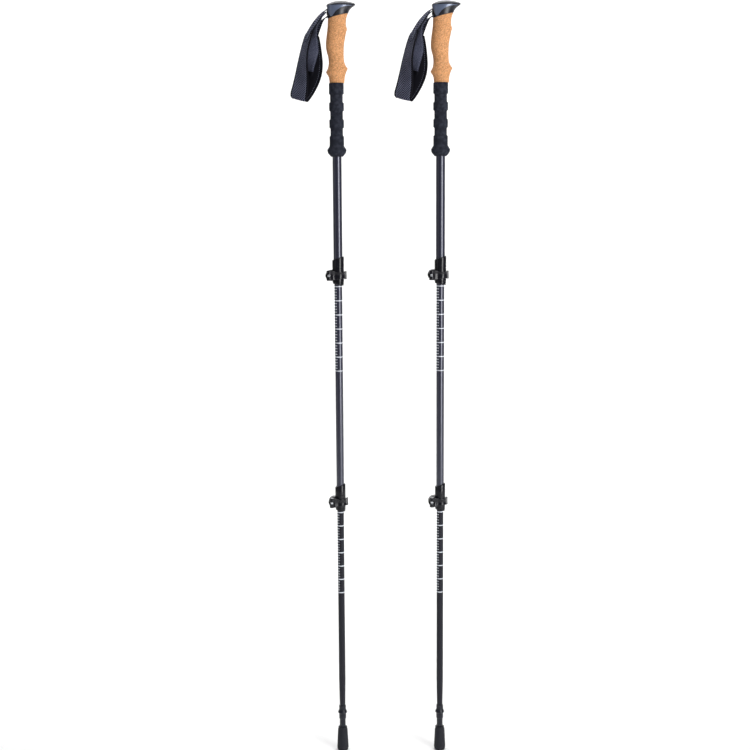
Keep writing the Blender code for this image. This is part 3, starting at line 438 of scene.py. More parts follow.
def linked(name, data):
    """A new object in the scene."""
    made = bpy.data.objects.new(name, data)
    bpy.context.scene.collection.objects.link(made)
    return made


def turned(name, profile, sides=64, closed=False):
    """A turned solid from radius and height pairs; a pair with no radius is a point on the axis."""
    points, rows = [], []
    for radius, height in profile:
        start = len(points)
        if radius < AXIS_LIMIT:
            points.append((0.0, 0.0, height))
            rows.append([start] * sides)
            continue
        points += round_ring(radius, height, 0.0, sides)
        rows.append(list(range(start, start + sides)))
    if closed:
        rows.append(rows[0])
    faces = []
    for here, there in zip(rows, rows[1:]):
        for k in range(sides):
            after = (k + 1) % sides
            corners = tuple(dict.fromkeys((here[k], here[after], there[after], there[k])))
            if len(corners) > 2:
                faces.append(corners)
    return mesh_of(name, points, faces)


def soften(points, radius, steps=4, closed=False):
    """The outline with each corner rounded off by at most this radius."""
    points = [Vector(p) for p in points]
    count = len(points)
    made = []
    for i, here in enumerate(points):
        if not closed and i in (0, count - 1):
            made.append(here)
            continue
        before = points[i - 1] - here
        after = points[(i + 1) % count] - here
        reach = min(radius, before.length * 0.45, after.length * 0.45)
        start = here + before.normalized() * reach
        end = here + after.normalized() * reach
        for k in range(steps + 1):
            t = k / steps
            made.append(start * (1 - t) ** 2 + here * 2 * t * (1 - t) + end * t**2)
    return made


def spline(rows, parts):
    """Rows of numbers with a smooth curve through them, each gap cut into this many parts."""
    rows = [Vector(row) for row in rows]
    last = len(rows) - 1
    made = []
    for i in range(last):
        p0, p1, p2, p3 = rows[max(i - 1, 0)], rows[i], rows[i + 1], rows[min(i + 2, last)]
        for step in range(parts):
            t = step / parts
            bend = (2 * p0 - 5 * p1 + 4 * p2 - p3) * t**2 + (3 * p1 - p0 - 3 * p2 + p3) * t**3
            made.append(0.5 * (2 * p1 + (p2 - p0) * t + bend))
    made.append(rows[-1])
    return made


def read_row(rows, key):
    """The row of a table, sorted either way by its first number, at this value of that number."""
    ordered = rows if rows[0][0] < rows[-1][0] else rows[::-1]
    if key <= ordered[0][0]:
        return ordered[0]
    for low, high in zip(ordered, ordered[1:]):
        if key <= high[0]:
            span = high[0] - low[0]
            share = (key - low[0]) / span if span > 1e-9 else 0.0
            return low.lerp(high, share)
    return ordered[-1]


def egg_point(section, angle, inset=0.0):
    """A point on one grip section, with its depth in metres as a negative height."""
    depth, rear, front, half, egg, slope = section
    middle = (rear + front) / 2 * MM
    reach = (front - rear) / 2 * MM - inset
    x = middle + reach * math.cos(angle)
    y = (half * MM - inset) * math.sin(angle) * (1 - egg * math.cos(angle))
    return Vector((x, y, slope * x - depth * MM))


def around(sides):
    """The angles of evenly spaced points round a full turn."""
    return [2 * math.pi * k / sides for k in range(sides)]


def arc(radius, start, turn, steps, x=0.0, z=0.0):
    """Points on an arc about a centre, with both ends."""
    angles = [start + turn * k / steps for k in range(steps + 1)]
    return [(x + radius * math.cos(a), z + radius * math.sin(a)) for a in angles]


def egg_ring(section, sides, inset=0.0, raise_by=0.0):
    lift = Vector((0.0, 0.0, raise_by))
    return [egg_point(section, angle, inset) + lift for angle in around(sides)]


def round_ring(radius, height, slope, sides):
    spots = [(radius * math.cos(angle), radius * math.sin(angle)) for angle in around(sides)]
    return [Vector((x, y, height + slope * x)) for x, y in spots]


def bar(name, radius, start, end, sides=32):
    """A round bar between two points."""
    start, end = Vector(start), Vector(end)
    turn = (end - start).to_track_quat("Z", "Y")
    ring = round_ring(radius, 0.0, 0.0, sides)
    return loft(name, [[turn @ point + place for point in ring] for place in (start, end)])


def prism(name, outline, start, end):
    """An outline in X and Z, stretched along Y."""
    return loft(name, [[Vector((x, y, z)) for x, z in outline] for y in (start, end)])


def block(name, low, high):
    outline = ((low[0], low[2]), (high[0], low[2]), (high[0], high[2]), (low[0], high[2]))
    return prism(name, outline, low[1], high[1])


def trim_slivers(mesh):
    """Joins points that a Boolean left almost together, and drops triangles that lie back to back."""
    shape = bmesh.new()
    shape.from_mesh(mesh)
    bmesh.ops.remove_doubles(shape, verts=shape.verts, dist=SLIVER)
    bmesh.ops.dissolve_degenerate(shape, edges=shape.edges, dist=SLIVER)
    many = [face for face in shape.faces if len(face.verts) > 4]
    bmesh.ops.triangulate(shape, faces=many, ngon_method="EAR_CLIP")
    seen = {}
    for face in shape.faces:
        seen.setdefault(frozenset(v.index for v in face.verts), []).append(face)
    doubled = [face for group in seen.values() if len(group) > 1 for face in group]
    bmesh.ops.delete(shape, geom=doubled, context="FACES")
    shape.to_mesh(mesh)
    shape.free()


def shaped(mesh, steps):
    """The mesh after its Boolean steps, each an operation and a tool in the same place."""
    thing = linked("shaping", mesh)
    used = [thing]
    for operation, tool_mesh in steps:
        used.append(linked("tool", tool_mesh))
        step = thing.modifiers.new(operation, "BOOLEAN")
        step.operation = operation
        step.solver = "EXACT"
        step.object = used[-1]
    bpy.context.view_layer.update()
    depsgraph = bpy.context.evaluated_depsgraph_get()
    made = bpy.data.meshes.new_from_object(thing.evaluated_get(depsgraph))
    for item in used:
        bpy.data.objects.remove(item)
    if not made.polygons:
        raise RuntimeError(f"{mesh.name} came out empty")
    trim_slivers(made)
    made.shade_smooth()
    made.set_sharp_from_angle(angle=SMOOTH_ANGLE)
    return made


def add_piece(name, mesh, finishes, body, node="", height=0.0, bevel=0.0):
    """Places the mesh on both poles, on their bodies, in front of the CAD node that it stands for.

    The names of two finishes have a space between them.
    """
    made = []
    if mesh.materials:
        mesh.materials.clear()
    for item in finishes.split():
        mesh.materials.append(finish(item))
    for side in SIDES:
        piece = linked(f"{side}_{name}", mesh if side == SIDES[0] else mesh.copy())
        piece.location = (axis_x(side), 0.0, height)
        if bevel:
            edge = piece.modifiers.new("edges", "BEVEL")
            edge.width = bevel
            edge.segments = 2
            edge.limit_method = "ANGLE"
            edge.angle_limit = BEVEL_ANGLE
        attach(piece, f"{side}_{body}")
        if node:
            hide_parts(f"{side}_{node}")
        made.append(piece)
    return made


def toned(colour, factor, lift=0.0):
    """The colour made lighter or darker."""
    return tuple(min(c * factor + lift, 1.0) for c in colour)


# Finishes


class Tree:
    """Short calls that build a node tree."""

    def __init__(self, tree):
        self.tree = tree

    def node(self, kind, **settings):
        made = self.tree.nodes.new(kind)
        for key, value in settings.items():
            setattr(made, key, value)
        return made

    def feed(self, value, socket):
        if isinstance(value, bpy.types.NodeSocket):
            self.tree.links.new(value, socket)
        else:
            socket.default_value = value

    def math(self, operation, first, second=0.0, third=0.0):
        made = self.node("ShaderNodeMath", operation=operation)
        for value, socket in zip((first, second, third), made.inputs):
            self.feed(value, socket)
        return made.outputs[0]

    def mix(self, factor, first, second):
        made = self.node("ShaderNodeMix", data_type="RGBA")
        for value, index in ((factor, 0), (first, 6), (second, 7)):
            self.feed((*value, 1.0) if isinstance(value, tuple) else value, made.inputs[index])
        return made.outputs[2]

    def place(self):
        return self.node("ShaderNodeTexCoord").outputs["Object"]

    def run(self):
        return self.node("ShaderNodeUVMap", uv_map=RUN_MAP).outputs[0]

    def spread(self, value, low, high, to_low, to_high):
        made = self.node("ShaderNodeMapRange", interpolation_type="SMOOTHSTEP")
        for part, number in zip(made.inputs, (value, low, high, to_low, to_high)):
            self.feed(number, part)
        return made.outputs[0]

    def parts(self, vector):
        made = self.node("ShaderNodeSeparateXYZ")
        self.feed(vector, made.inputs[0])
        return made.outputs

    def noise(self, vector, scale, detail=2.0):
        made = self.node("ShaderNodeTexNoise")
        self.feed(vector, made.inputs["Vector"])
        made.inputs["Scale"].default_value = scale
        made.inputs["Detail"].default_value = detail
        return made.outputs[0]

    def cells(self, vector, scale, feature="F1"):
        made = self.node("ShaderNodeTexVoronoi", feature=feature)
        self.feed(vector, made.inputs["Vector"])
        made.inputs["Scale"].default_value = scale
        return made

    def group(self, kind, **values):
        made = self.node("ShaderNodeGroup", node_tree=kind)
        for key, value in values.items():
            self.feed(value, made.inputs[key])
        return made.outputs

    def bump(self, height, distance, strength=1.0):
        made = self.node("ShaderNodeBump")
        self.feed(height, made.inputs["Height"])
        made.inputs["Distance"].default_value = distance
        made.inputs["Strength"].default_value = strength
        return made.outputs[0]


def new_group(name, inputs, outputs):
    """An empty shader group with named sockets, and its tree and its two ends."""
    made = bpy.data.node_groups.new(name, "ShaderNodeTree")
    for label, kind in inputs:
        made.interface.new_socket(name=label, in_out="INPUT", socket_type=kind)
    for label, kind in outputs:
        made.interface.new_socket(name=label, in_out="OUTPUT", socket_type=kind)
    tree = Tree(made)
    return made, tree, tree.node("NodeGroupInput").outputs, tree.node("NodeGroupOutput").inputs


def scuff_group():
    """Worn patches and fine scratches: a mask that is 0 on clean surface."""
    made, tree, given, out = new_group(
        "handling_wear",
        [("Place", "NodeSocketVector"), ("Amount", "NodeSocketFloat")],
        [("Mask", "NodeSocketFloat"), ("Grain", "NodeSocketFloat")],
    )
    patch = tree.spread(tree.noise(given["Place"], 55.0, 4.0), 0.52, 0.7, 0.0, 1.0)
    stretch = tree.node("ShaderNodeMapping")
    stretch.inputs["Scale"].default_value = (1500.0, 1500.0, 120.0)
    tree.feed(given["Place"], stretch.inputs["Vector"])
    line = tree.spread(tree.noise(stretch.outputs[0], 1.0, 1.0), 0.62, 0.72, 0.0, 1.0)
    worn = tree.math("ADD", tree.math("MULTIPLY", patch, 0.55), tree.math("MULTIPLY", line, 0.45))
    tree.feed(tree.math("MULTIPLY", worn, given["Amount"]), out["Mask"])
    tree.feed(tree.noise(given["Place"], 1900.0, 1.0), out["Grain"])
    return made


def twill_group():
    """Two by two carbon twill laid round a tube on the Z axis."""
    made, tree, given, out = new_group(
        "carbon_twill",
        [("Place", "NodeSocketVector"), ("Radius", "NodeSocketFloat"), ("Tow", "NodeSocketFloat")],
        [("Over", "NodeSocketFloat"), ("Height", "NodeSocketFloat")],
    )
    x, y, z = tree.parts(given["Place"])
    around_tube = tree.math("MULTIPLY", tree.math("ARCTAN2", y, x), given["Radius"])
    column = tree.math("DIVIDE", around_tube, given["Tow"])
    row = tree.math("DIVIDE", z, given["Tow"])
    step = tree.math("ADD", tree.math("FLOOR", column), tree.math("FLOOR", row))
    over = tree.math("LESS_THAN", tree.math("FLOORED_MODULO", step, 4.0), 1.5)
    warp = tree.math("SINE", tree.math("MULTIPLY", tree.math("FRACT", column), math.pi))
    weft = tree.math("SINE", tree.math("MULTIPLY", tree.math("FRACT", row), math.pi))
    under = tree.math("MULTIPLY", tree.math("SUBTRACT", 1.0, over), weft)
    tree.feed(over, out["Over"])
    tree.feed(tree.math("MULTIPLY_ADD", over, warp, under), out["Height"])
    return made


def weave_group():
    """Patterned narrow fabric: diagonal light yarns that turn back in columns, and the ribs of its yarns."""
    made, tree, given, out = new_group(
        "patterned_weave",
        [("Run", "NodeSocketVector"), ("Pitch", "NodeSocketFloat"), ("Column", "NodeSocketFloat"),
         ("Reach", "NodeSocketFloat")],
        [("Light", "NodeSocketFloat"), ("Height", "NodeSocketFloat")],
    )
    along, across, _ = tree.parts(given["Run"])
    column = tree.math("PINGPONG", across, given["Column"])
    slant = tree.math("DIVIDE", tree.math("ADD", along, column), given["Pitch"])
    wave = tree.math("SINE", tree.math("MULTIPLY", slant, math.pi))
    light = tree.spread(wave, -0.1, 0.45, 0.0, 1.0)
    rib_a = tree.math("SINE", tree.math("MULTIPLY", along, 2 * math.pi / (0.55 * MM)))
    rib_b = tree.math("SINE", tree.math("MULTIPLY", across, 2 * math.pi / (0.7 * MM)))
    ribs = tree.math("MULTIPLY", rib_a, rib_b)
    selvedge = tree.math("LESS_THAN", tree.math("ABSOLUTE", across), given["Reach"])
    patterned = tree.math("MULTIPLY", light, selvedge)
    tree.feed(tree.math("MULTIPLY", patterned, tree.math("MULTIPLY_ADD", ribs, 0.22, 0.78)), out["Light"])
    tree.feed(tree.math("MULTIPLY_ADD", light, 0.6, tree.math("MULTIPLY", ribs, 0.4)), out["Height"])
    return made


class Finishes:
    """Every material of the poles, each made once."""

    def __init__(self):
        self.made = {}
        self.scuffs = scuff_group()
        self.twill = twill_group()
        self.weave = weave_group()

    def start(self, name, roughness, metallic=0.0, **constants):
        """A new material, its tree and its shader, with the plain values on the shader's own sockets."""
        material = bpy.data.materials.new(name)
        material.use_nodes = True
        inputs = material.node_tree.nodes["Principled BSDF"].inputs
        for key, value in dict(Roughness=roughness, Metallic=metallic, **constants).items():
            inputs[key.replace("_", " ")].default_value = value
        self.made[name] = material
        return Tree(material.node_tree), inputs

    def carbon(self, name, radius, tow, dark, light, roughness, coat):
        level = {"Coat_Weight": coat, "Coat_Roughness": 0.2, "Coat_IOR": 1.7, "Specular_IOR_Level": coat / 2}
        tree, into = self.start(name, roughness, Specular_Tint=CARBON_SHEEN, **level)
        place = tree.place()
        over, height = tree.group(self.twill, Place=place, Radius=radius, Tow=tow)
        worn = tree.group(self.scuffs, Place=place, Amount=0.5)["Mask"]
        tree.feed(tree.mix(over, dark, light), into["Base Color"])
        rough = tree.math("MULTIPLY_ADD", over, 0.1, roughness)
        tree.feed(tree.math("MULTIPLY_ADD", worn, 0.18, rough), into["Roughness"])
        tree.feed(tree.bump(height, 0.03 * MM, 0.5), into["Normal"])

    def plastic(self, name, colour, roughness, grain=0.02, wear=0.5, worn_colour=None, **constants):
        tree, into = self.start(name, roughness, **constants)
        mask, fine = tree.group(self.scuffs, Place=tree.place(), Amount=wear)
        rubbed = worn_colour or toned(colour, 2.2, 0.012)
        tree.feed(tree.mix(mask, colour, rubbed), into["Base Color"])
        tree.feed(tree.math("MULTIPLY_ADD", mask, 0.16, roughness), into["Roughness"])
        tree.feed(tree.bump(fine, grain * MM, 0.6), into["Normal"])

    def metal(self, name, colour, roughness):
        tree, into = self.start(name, roughness, 1.0)
        mask, fine = tree.group(self.scuffs, Place=tree.place(), Amount=1.0)
        tree.feed(tree.mix(mask, colour, toned(colour, 0.72)), into["Base Color"])
        tree.feed(tree.math("MULTIPLY_ADD", fine, 0.25, roughness - 0.1), into["Roughness"])
        tree.feed(tree.bump(fine, 0.01 * MM, 0.4), into["Normal"])

    def cork(self, name, colour, granule):
        """Agglomerated cork: granules of differing tone, darker binder between them, and small dark pits."""
        tree, into = self.start(name, 0.78)
        place = tree.place()
        wobble = tree.node("ShaderNodeVectorMath", operation="MULTIPLY_ADD")
        ripple = tree.node("ShaderNodeTexNoise")
        ripple.inputs["Scale"].default_value = 420.0
        tree.feed(place, ripple.inputs["Vector"])
        tree.feed(ripple.outputs["Color"], wobble.inputs[0])
        wobble.inputs[1].default_value = (0.9 * MM, 0.9 * MM, 0.9 * MM)
        tree.feed(place, wobble.inputs[2])
        crumbs = tree.cells(wobble.outputs[0], 1.0 / granule)
        seams = tree.cells(wobble.outputs[0], 1.0 / granule, "DISTANCE_TO_EDGE")
        shade = tree.parts(crumbs.outputs["Color"])
        brown = tuple(c * f for c, f in zip(colour, (0.86, 0.80, 0.70)))
        bark = tuple(c * f for c, f in zip(colour, (0.40, 0.30, 0.22)))
        tone = tree.mix(tree.spread(shade[0], 0.15, 0.95, 0.0, 1.0), brown, toned(colour, 1.07, 0.006))
        wide = tree.spread(tree.noise(place, 70.0, 3.0), 0.35, 0.68, 0.95, 1.02)
        crumb = tree.spread(tree.noise(place, 330.0, 2.0), 0.34, 0.6, 0.8, 1.05)
        hue = tree.node("ShaderNodeHueSaturation")
        tree.feed(tree.math("MULTIPLY", wide, crumb), hue.inputs["Value"])
        tree.feed(tone, hue.inputs["Color"])
        binder = tree.spread(seams.outputs["Distance"], 0.0, 0.11, 0.5, 0.0)
        base = tree.mix(binder, hue.outputs["Color"], bark)
        pits = tree.math("GREATER_THAN", shade[1], 0.93)
        small = tree.cells(place, 2.2 / granule)
        pit = tree.math("MULTIPLY", pits, tree.spread(small.outputs["Distance"], 0.25, 0.5, 1.0, 0.0))
        speck = tree.math("GREATER_THAN", tree.parts(small.outputs["Color"])[2], 0.9)
        dark = tree.math("MAXIMUM", pit, tree.math("MULTIPLY", speck, 0.8))
        tree.feed(tree.mix(tree.math("MULTIPLY", dark, 0.75), base, bark), into["Base Color"])
        fine = tree.noise(place, 2600.0, 2.0)
        tree.feed(tree.math("MULTIPLY_ADD", fine, 0.14, 0.7), into["Roughness"])
        hollow = tree.math("MULTIPLY_ADD", dark, -0.9, seams.outputs["Distance"])
        tree.feed(tree.bump(tree.math("MULTIPLY_ADD", fine, 0.35, hollow), 0.28 * MM, 0.7), into["Normal"])

    def foam(self, name, colour):
        """Closed-cell foam with fine cells and a faint bloom where it has been held."""
        tree, into = self.start(name, 0.9, Specular_IOR_Level=0.12)
        place = tree.place()
        bloom = tree.spread(tree.noise(place, 150.0, 3.0), 0.38, 0.72, 0.0, 0.7)
        tree.feed(tree.mix(bloom, colour, toned(colour, 2.0, 0.008)), into["Base Color"])
        cell = tree.cells(place, 1500.0).outputs["Distance"]
        tree.feed(tree.bump(tree.math("ADD", cell, tree.noise(place, 700.0)), 0.12 * MM, 0.8), into["Normal"])

    def woven(self, name, light, ground, pitch, column, reach=1.0):
        """Patterned webbing with the yarn's light and dark soiled in patches."""
        tree, into = self.start(name, 0.78, Specular_IOR_Level=0.12)
        mask, height = tree.group(self.weave, Run=tree.run(), Pitch=pitch, Column=column, Reach=reach)
        soil = tree.spread(tree.noise(tree.place(), 60.0, 3.0), 0.35, 0.7, 0.75, 1.0)
        tree.feed(tree.mix(tree.math("MULTIPLY", mask, soil), ground, light), into["Base Color"])
        tree.feed(tree.bump(height, 0.16 * MM, 0.8), into["Normal"])

    def ribbed(self, name, colour, pitch, lift=1.6):
        """Plain black narrow fabric with ribs across it, such as binding and lining."""
        tree, into = self.start(name, 0.85, Specular_IOR_Level=0.06)
        along = tree.parts(tree.run())[0]
        wave = tree.math("SINE", tree.math("MULTIPLY", along, 2 * math.pi / pitch))
        fuzz = tree.noise(tree.place(), 1600.0, 3.0)
        tree.feed(tree.mix(fuzz, colour, toned(colour, lift, 0.002)), into["Base Color"])
        tree.feed(tree.bump(tree.math("MULTIPLY_ADD", wave, 0.5, fuzz), 0.12 * MM, 0.7), into["Normal"])


FINISHES = {}


def finish(name):
    """A material by name; all of them are made at the first call."""
    if FINISHES:
        return FINISHES[name]
    scene = bpy.context.scene
    grip, tube, strap, clamp = scene.pole_grip, scene.pole_tube, scene.pole_strap, scene.pole_clamp
    make = Finishes()
    wide = tube_radius("left_upper_tube")
    thin = tube_radius("left_lower_tube")
    make.carbon("gloss_carbon", wide, tube.tow_width, (0.002, 0.002, 0.004), (0.015, 0.016, 0.036), 0.3, 1.0)
    make.carbon("matt_carbon", thin, tube.tow_width, (0.005, 0.005, 0.007), (0.024, 0.023, 0.029), 0.36, 0.2)
    make.plastic("mark_ink", tuple(tube.ink_colour), 0.45, 0.01, 0.3, (0.5, 0.53, 0.6))
    make.plastic(
        "head_plastic", tuple(grip.head_colour), 0.32, 0.008, 0.35, Coat_Weight=0.15, Coat_Roughness=0.2
    )
    make.plastic("cap_plastic", (0.018, 0.018, 0.027), 0.34, 0.03, 0.4)
    make.plastic("inlay_plastic", tuple(grip.inlay_colour), 0.3, 0.01, 0.25, metallic=0.3, Coat_Weight=0.8)
    gloss = {"Coat_Weight": 0.4, "Coat_Roughness": 0.08, "Coat_IOR": 1.6, "Specular_IOR_Level": 0.12}
    make.plastic("clamp_plastic", tuple(clamp.plastic_colour), 0.27, 0.012, 0.3, (0.012, 0.012, 0.016), **gloss)
    make.plastic("inner_plastic", (0.006, 0.006, 0.007), 0.5, 0.03, 0.3, Specular_IOR_Level=0.2)
    make.plastic("ferrule_plastic", (0.009, 0.010, 0.017), 0.3, 0.02, 0.8, Specular_IOR_Level=0.3)
    worn_rubber = (0.05, 0.05, 0.055)
    make.plastic("foot_rubber", (0.012, 0.013, 0.019), 0.6, 0.08, 0.4, worn_rubber, Specular_IOR_Level=0.25)
    make.metal("bright_steel", tuple(clamp.steel_colour), 0.24)
    make.metal("dull_carbide", (0.30, 0.30, 0.32), 0.45)
    make.cork("grip_cork", tuple(grip.cork_colour), grip.cork_granule)
    make.foam("grip_foam", tuple(grip.foam_colour))
    yarn, ground = tuple(strap.yarn_colour), tuple(strap.ground_colour)
    make.woven("loop_face", yarn, ground, strap.yarn_pitch, 200.0)
    make.woven("web_face", toned(yarn, 1.3), ground, strap.yarn_pitch, 2.2 * MM, 4.4 * MM)
    make.woven("flap_face", toned(yarn, 0.9), toned(ground, 2.0), 1.1 * MM, 1.6 * MM)
    make.ribbed("loop_lining", tuple(strap.lining_colour), 1.0 * MM, 2.2)
    make.ribbed("edge_binding", tuple(strap.lining_colour), 0.7 * MM)
    make.plastic("sewing_thread", tuple(strap.thread_colour), 0.7, 0.02, 0.2)
    FINISHES.update(make.made)
    return FINISHES[name]


# Heads


def head_section(depth):
    return read_row(spline(HEAD_SECTIONS, 6), depth)


def head_point(angle, depth, inset):
    """The head's surface at this angle and true depth in mm, set in by this much."""
    key = depth
    for _ in range(4):
        section = head_section(key)
        x = egg_point(section, angle, inset).x / MM
        key = depth + section[5] * x
    point = egg_point(section, angle, inset)
    return Vector((point.x, point.y, -depth * MM))


def head_angle(x, depth):
    """The angle of the head's surface at this x, from the front round to the rear."""
    section = head_section(depth + head_section(depth)[5] * x)
    middle = (section[1] + section[2]) / 2
    turn = (x - middle) / ((section[2] - section[1]) / 2)
    return math.acos(min(max(turn, -1.0), 1.0))


def rear_angle(depth, inner):
    """Where the head's side comes in to this distance from the middle plane, at its rear."""
    low, high = math.radians(95), math.pi
    for _ in range(24):
        half = (low + high) / 2
        if head_point(half, depth, 0.0).y > inner:
            low = half
        else:
            high = half
    return low


def inlay(name, grow, outside, inside):
    """The inlay on the head's +Y side, as a closed slab between two depths under the skin."""
    sweep = spline(INLAY_SWEEP, 5)
    rear = spline(INLAY_REAR, 6)
    outer, inner = [], []
    for i, (depth, right) in enumerate(sweep):
        depth += (-grow if i == 0 else grow if i == len(sweep) - 1 else 0.0) / MM
        left = read_row(rear, depth)[1] - grow / MM
        start = min(rear_angle(depth, INLAY_INNER - grow), head_angle(left, depth))
        end = head_angle(right + grow / MM, depth)
        for k in range(INLAY_COLUMNS + 1):
            angle = start + (end - start) * k / INLAY_COLUMNS
            outer.append(head_point(angle, depth, -outside))
            inner.append(head_point(angle, depth, inside))
    return slab(name, outer, inner, INLAY_COLUMNS)


def mirrored(mesh):
    """The same mesh on the other side of the middle plane."""
    made = mesh.copy()
    made.transform(Matrix.Scale(-1.0, 4, (0.0, 1.0, 0.0)))
    made.flip_normals()
    return made


def pocket_outline():
    """Side outline of the strap pocket, from the head's top."""
    radius = WEB_BEND * MM + POCKET_CLEARANCE + WEB_THICKNESS / 2
    roof = radius + POCKET_STRAND_ROOM
    rise = math.tan(STRAP_SWING) * POCKET_REACH
    outline = [(-POCKET_REACH, roof + rise), (0.0, roof), *arc(radius, math.pi / 2, -math.pi, 16)]
    outline.append((-POCKET_REACH, -radius - POCKET_FLOOR_DROP))
    return [(x + STRAP_PIN.x, z + STRAP_PIN.z) for x, z in outline]


def head_shell():
    """The moulded head: its skin, the spigot in the tube, the strap pocket and the two recesses."""
    rows = spline(HEAD_SECTIONS, 7)
    rings = [egg_ring(rows[0], HEAD_SIDES, 0.35 * MM), egg_ring(rows[0], HEAD_SIDES, 0.0, 0.35 * MM)]
    rings += [egg_ring(row, HEAD_SIDES) for row in rows[1:-1]]
    rings += [egg_ring(rows[-1], HEAD_SIDES, 0.08 * MM, -0.3 * MM), egg_ring(rows[-1], HEAD_SIDES, 0.45 * MM)]
    half = WEB_WIDTH / 2 + POCKET_CLEARANCE
    low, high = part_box("left_strap_pin")
    pin_ends = [(STRAP_PIN.x, y, STRAP_PIN.z) for y in (low.y - PART_GAP, high.y + PART_GAP)]
    spigot_radius = tube_radius("left_upper_tube") - TUBE_WALL - PART_GAP
    spigot_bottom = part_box("left_head_core")[0].z - head_top()
    recess = inlay("recess", INLAY_GAP, RECESS_PAST, INLAY_DEPTH + INLAY_GAP)
    return shaped(loft("head_shell", rings), [
        ("UNION", bar("spigot", spigot_radius, (0, 0, spigot_bottom), (0, 0, -SPIGOT_TOP_DEPTH), 48)),
        ("DIFFERENCE", prism("pocket", pocket_outline(), -half, half)),
        ("DIFFERENCE", recess),
        ("DIFFERENCE", mirrored(recess)),
        ("DIFFERENCE", bar("pin_hole", PIN_HOLE_RADIUS, *pin_ends)),
    ])


def head_cap():
    rows = spline(CAP_SECTIONS, 6)
    rings = [egg_ring(rows[0], HEAD_SIDES, 0.5 * MM), egg_ring(rows[0], HEAD_SIDES, 0.1 * MM, 0.15 * MM)]
    return loft("head_cap", rings + [egg_ring(row, HEAD_SIDES) for row in rows[1:]])


class POLES_OT_heads(bpy.types.Operator):
    """Build the moulded heads, their caps and the inlays"""

    bl_idname = "poles.heads"
    bl_label = "Heads"

    def execute(self, context):
        top = head_top()
        add_piece("head_shell", head_shell(), "head_plastic", "upper", "head_core", top)
        add_piece("head_dome", head_cap(), "cap_plastic", "upper", "head_cap", top)
        back = inlay("inlay", 0.0, INLAY_PROUD, INLAY_DEPTH)
        for face, mesh in (("back", back), ("front", mirrored(back))):
            name, node = f"inlay_{face}", f"head_trim_{face}"
            add_piece(name, mesh, "inlay_plastic", "upper", node, top, INLAY_ROUNDING)
        return {"FINISHED"}


# Grips


def uneven(ring):
    """The ring with the slight swells and grain of sanded cork."""
    made = []
    for point in ring:
        rise = 0.13 * noise.noise(point * 130) + 0.05 * noise.noise(point * 600)
        made.append(point + Vector((point.x, point.y, 0.0)).normalized() * rise * MM)
    return made


def cork_sleeve():
    """The shaped cork, its surface slightly uneven, with the tube's bore through it."""
    bore = tube_radius("left_upper_tube") + PART_GAP
    rows = spline(CORK_SECTIONS, 7)
    top, bottom = rows[0], rows[-1]
    skin = [egg_ring(top, CORK_SIDES, 0.1 * MM, -0.3 * MM)]
    skin += [egg_ring(row, CORK_SIDES) for row in rows[1:-1]]
    skin.append(egg_ring(bottom, CORK_SIDES, 0.1 * MM, 0.4 * MM))
    rings = [egg_ring(top, CORK_SIDES, 0.5 * MM)] + [uneven(ring) for ring in skin]
    rings.append(egg_ring(bottom, CORK_SIDES, 0.6 * MM))
    rings.append(round_ring(bore, -bottom[0] * MM, 0.0, CORK_SIDES))
    rings.append(round_ring(bore, -top[0] * MM, top[5], CORK_SIDES))
    return loft("cork_sleeve", rings, closed=True)


def foam_sleeve():
    bore = tube_radius("left_upper_tube") + PART_GAP
    outline = [(r * MM, -depth * MM) for depth, r in FOAM_PROFILE]
    shoulder = (outline[0][0] - FOAM_SHOULDER, outline[0][1])
    outline = [tuple(p) for p in soften([shoulder, *outline], FOAM_ROUNDING)]
    outline += [(bore, outline[-1][1]), (bore, outline[0][1])]
    return turned("foam_sleeve", outline, 96, closed=True)


class POLES_OT_grips(bpy.types.Operator):
    """Build the cork grips and the ribbed foam sleeves"""

    bl_idname = "poles.grips"
    bl_label = "Grips"

    def execute(self, context):
        top = head_top()
        add_piece("cork_sleeve", cork_sleeve(), "grip_cork", "upper", "cork_grip", top)
        add_piece("foam_sleeve", foam_sleeve(), "grip_foam", "upper", "foam_grip", top)
        return {"FINISHED"}


# Tubes


def slit_tube(name, node, clamp_z):
    """A round tube with the slit that lets its lower end close on the next one."""
    low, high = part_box(node)
    radius = tube_radius(node)
    inner = radius - TUBE_WALL
    edge = 0.12 * MM
    profile = [(radius - edge, high.z), (radius, high.z - edge), (radius, low.z + edge), (radius - edge, low.z)]
    profile += [(inner, low.z), (inner, high.z)]
    slit = block("slit", (-radius - MM, -SLIT_HALF, low.z - MM), (0.0, SLIT_HALF, clamp_z + SPLIT_TOP))
    return shaped(turned(name, profile, closed=True), [("DIFFERENCE", slit)])


def tapered_tube(name, node):
    low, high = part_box(node)
    radius = tube_radius(node)
    thin = radius - TIP_TAPER
    outer = [(radius, high.z), (radius, TAPER_TOP), (thin, TAPER_BOTTOM), (thin, low.z)]
    inner = [(r - TUBE_WALL, z) for r, z in reversed(outer)]
    return turned(name, outer + inner, closed=True)


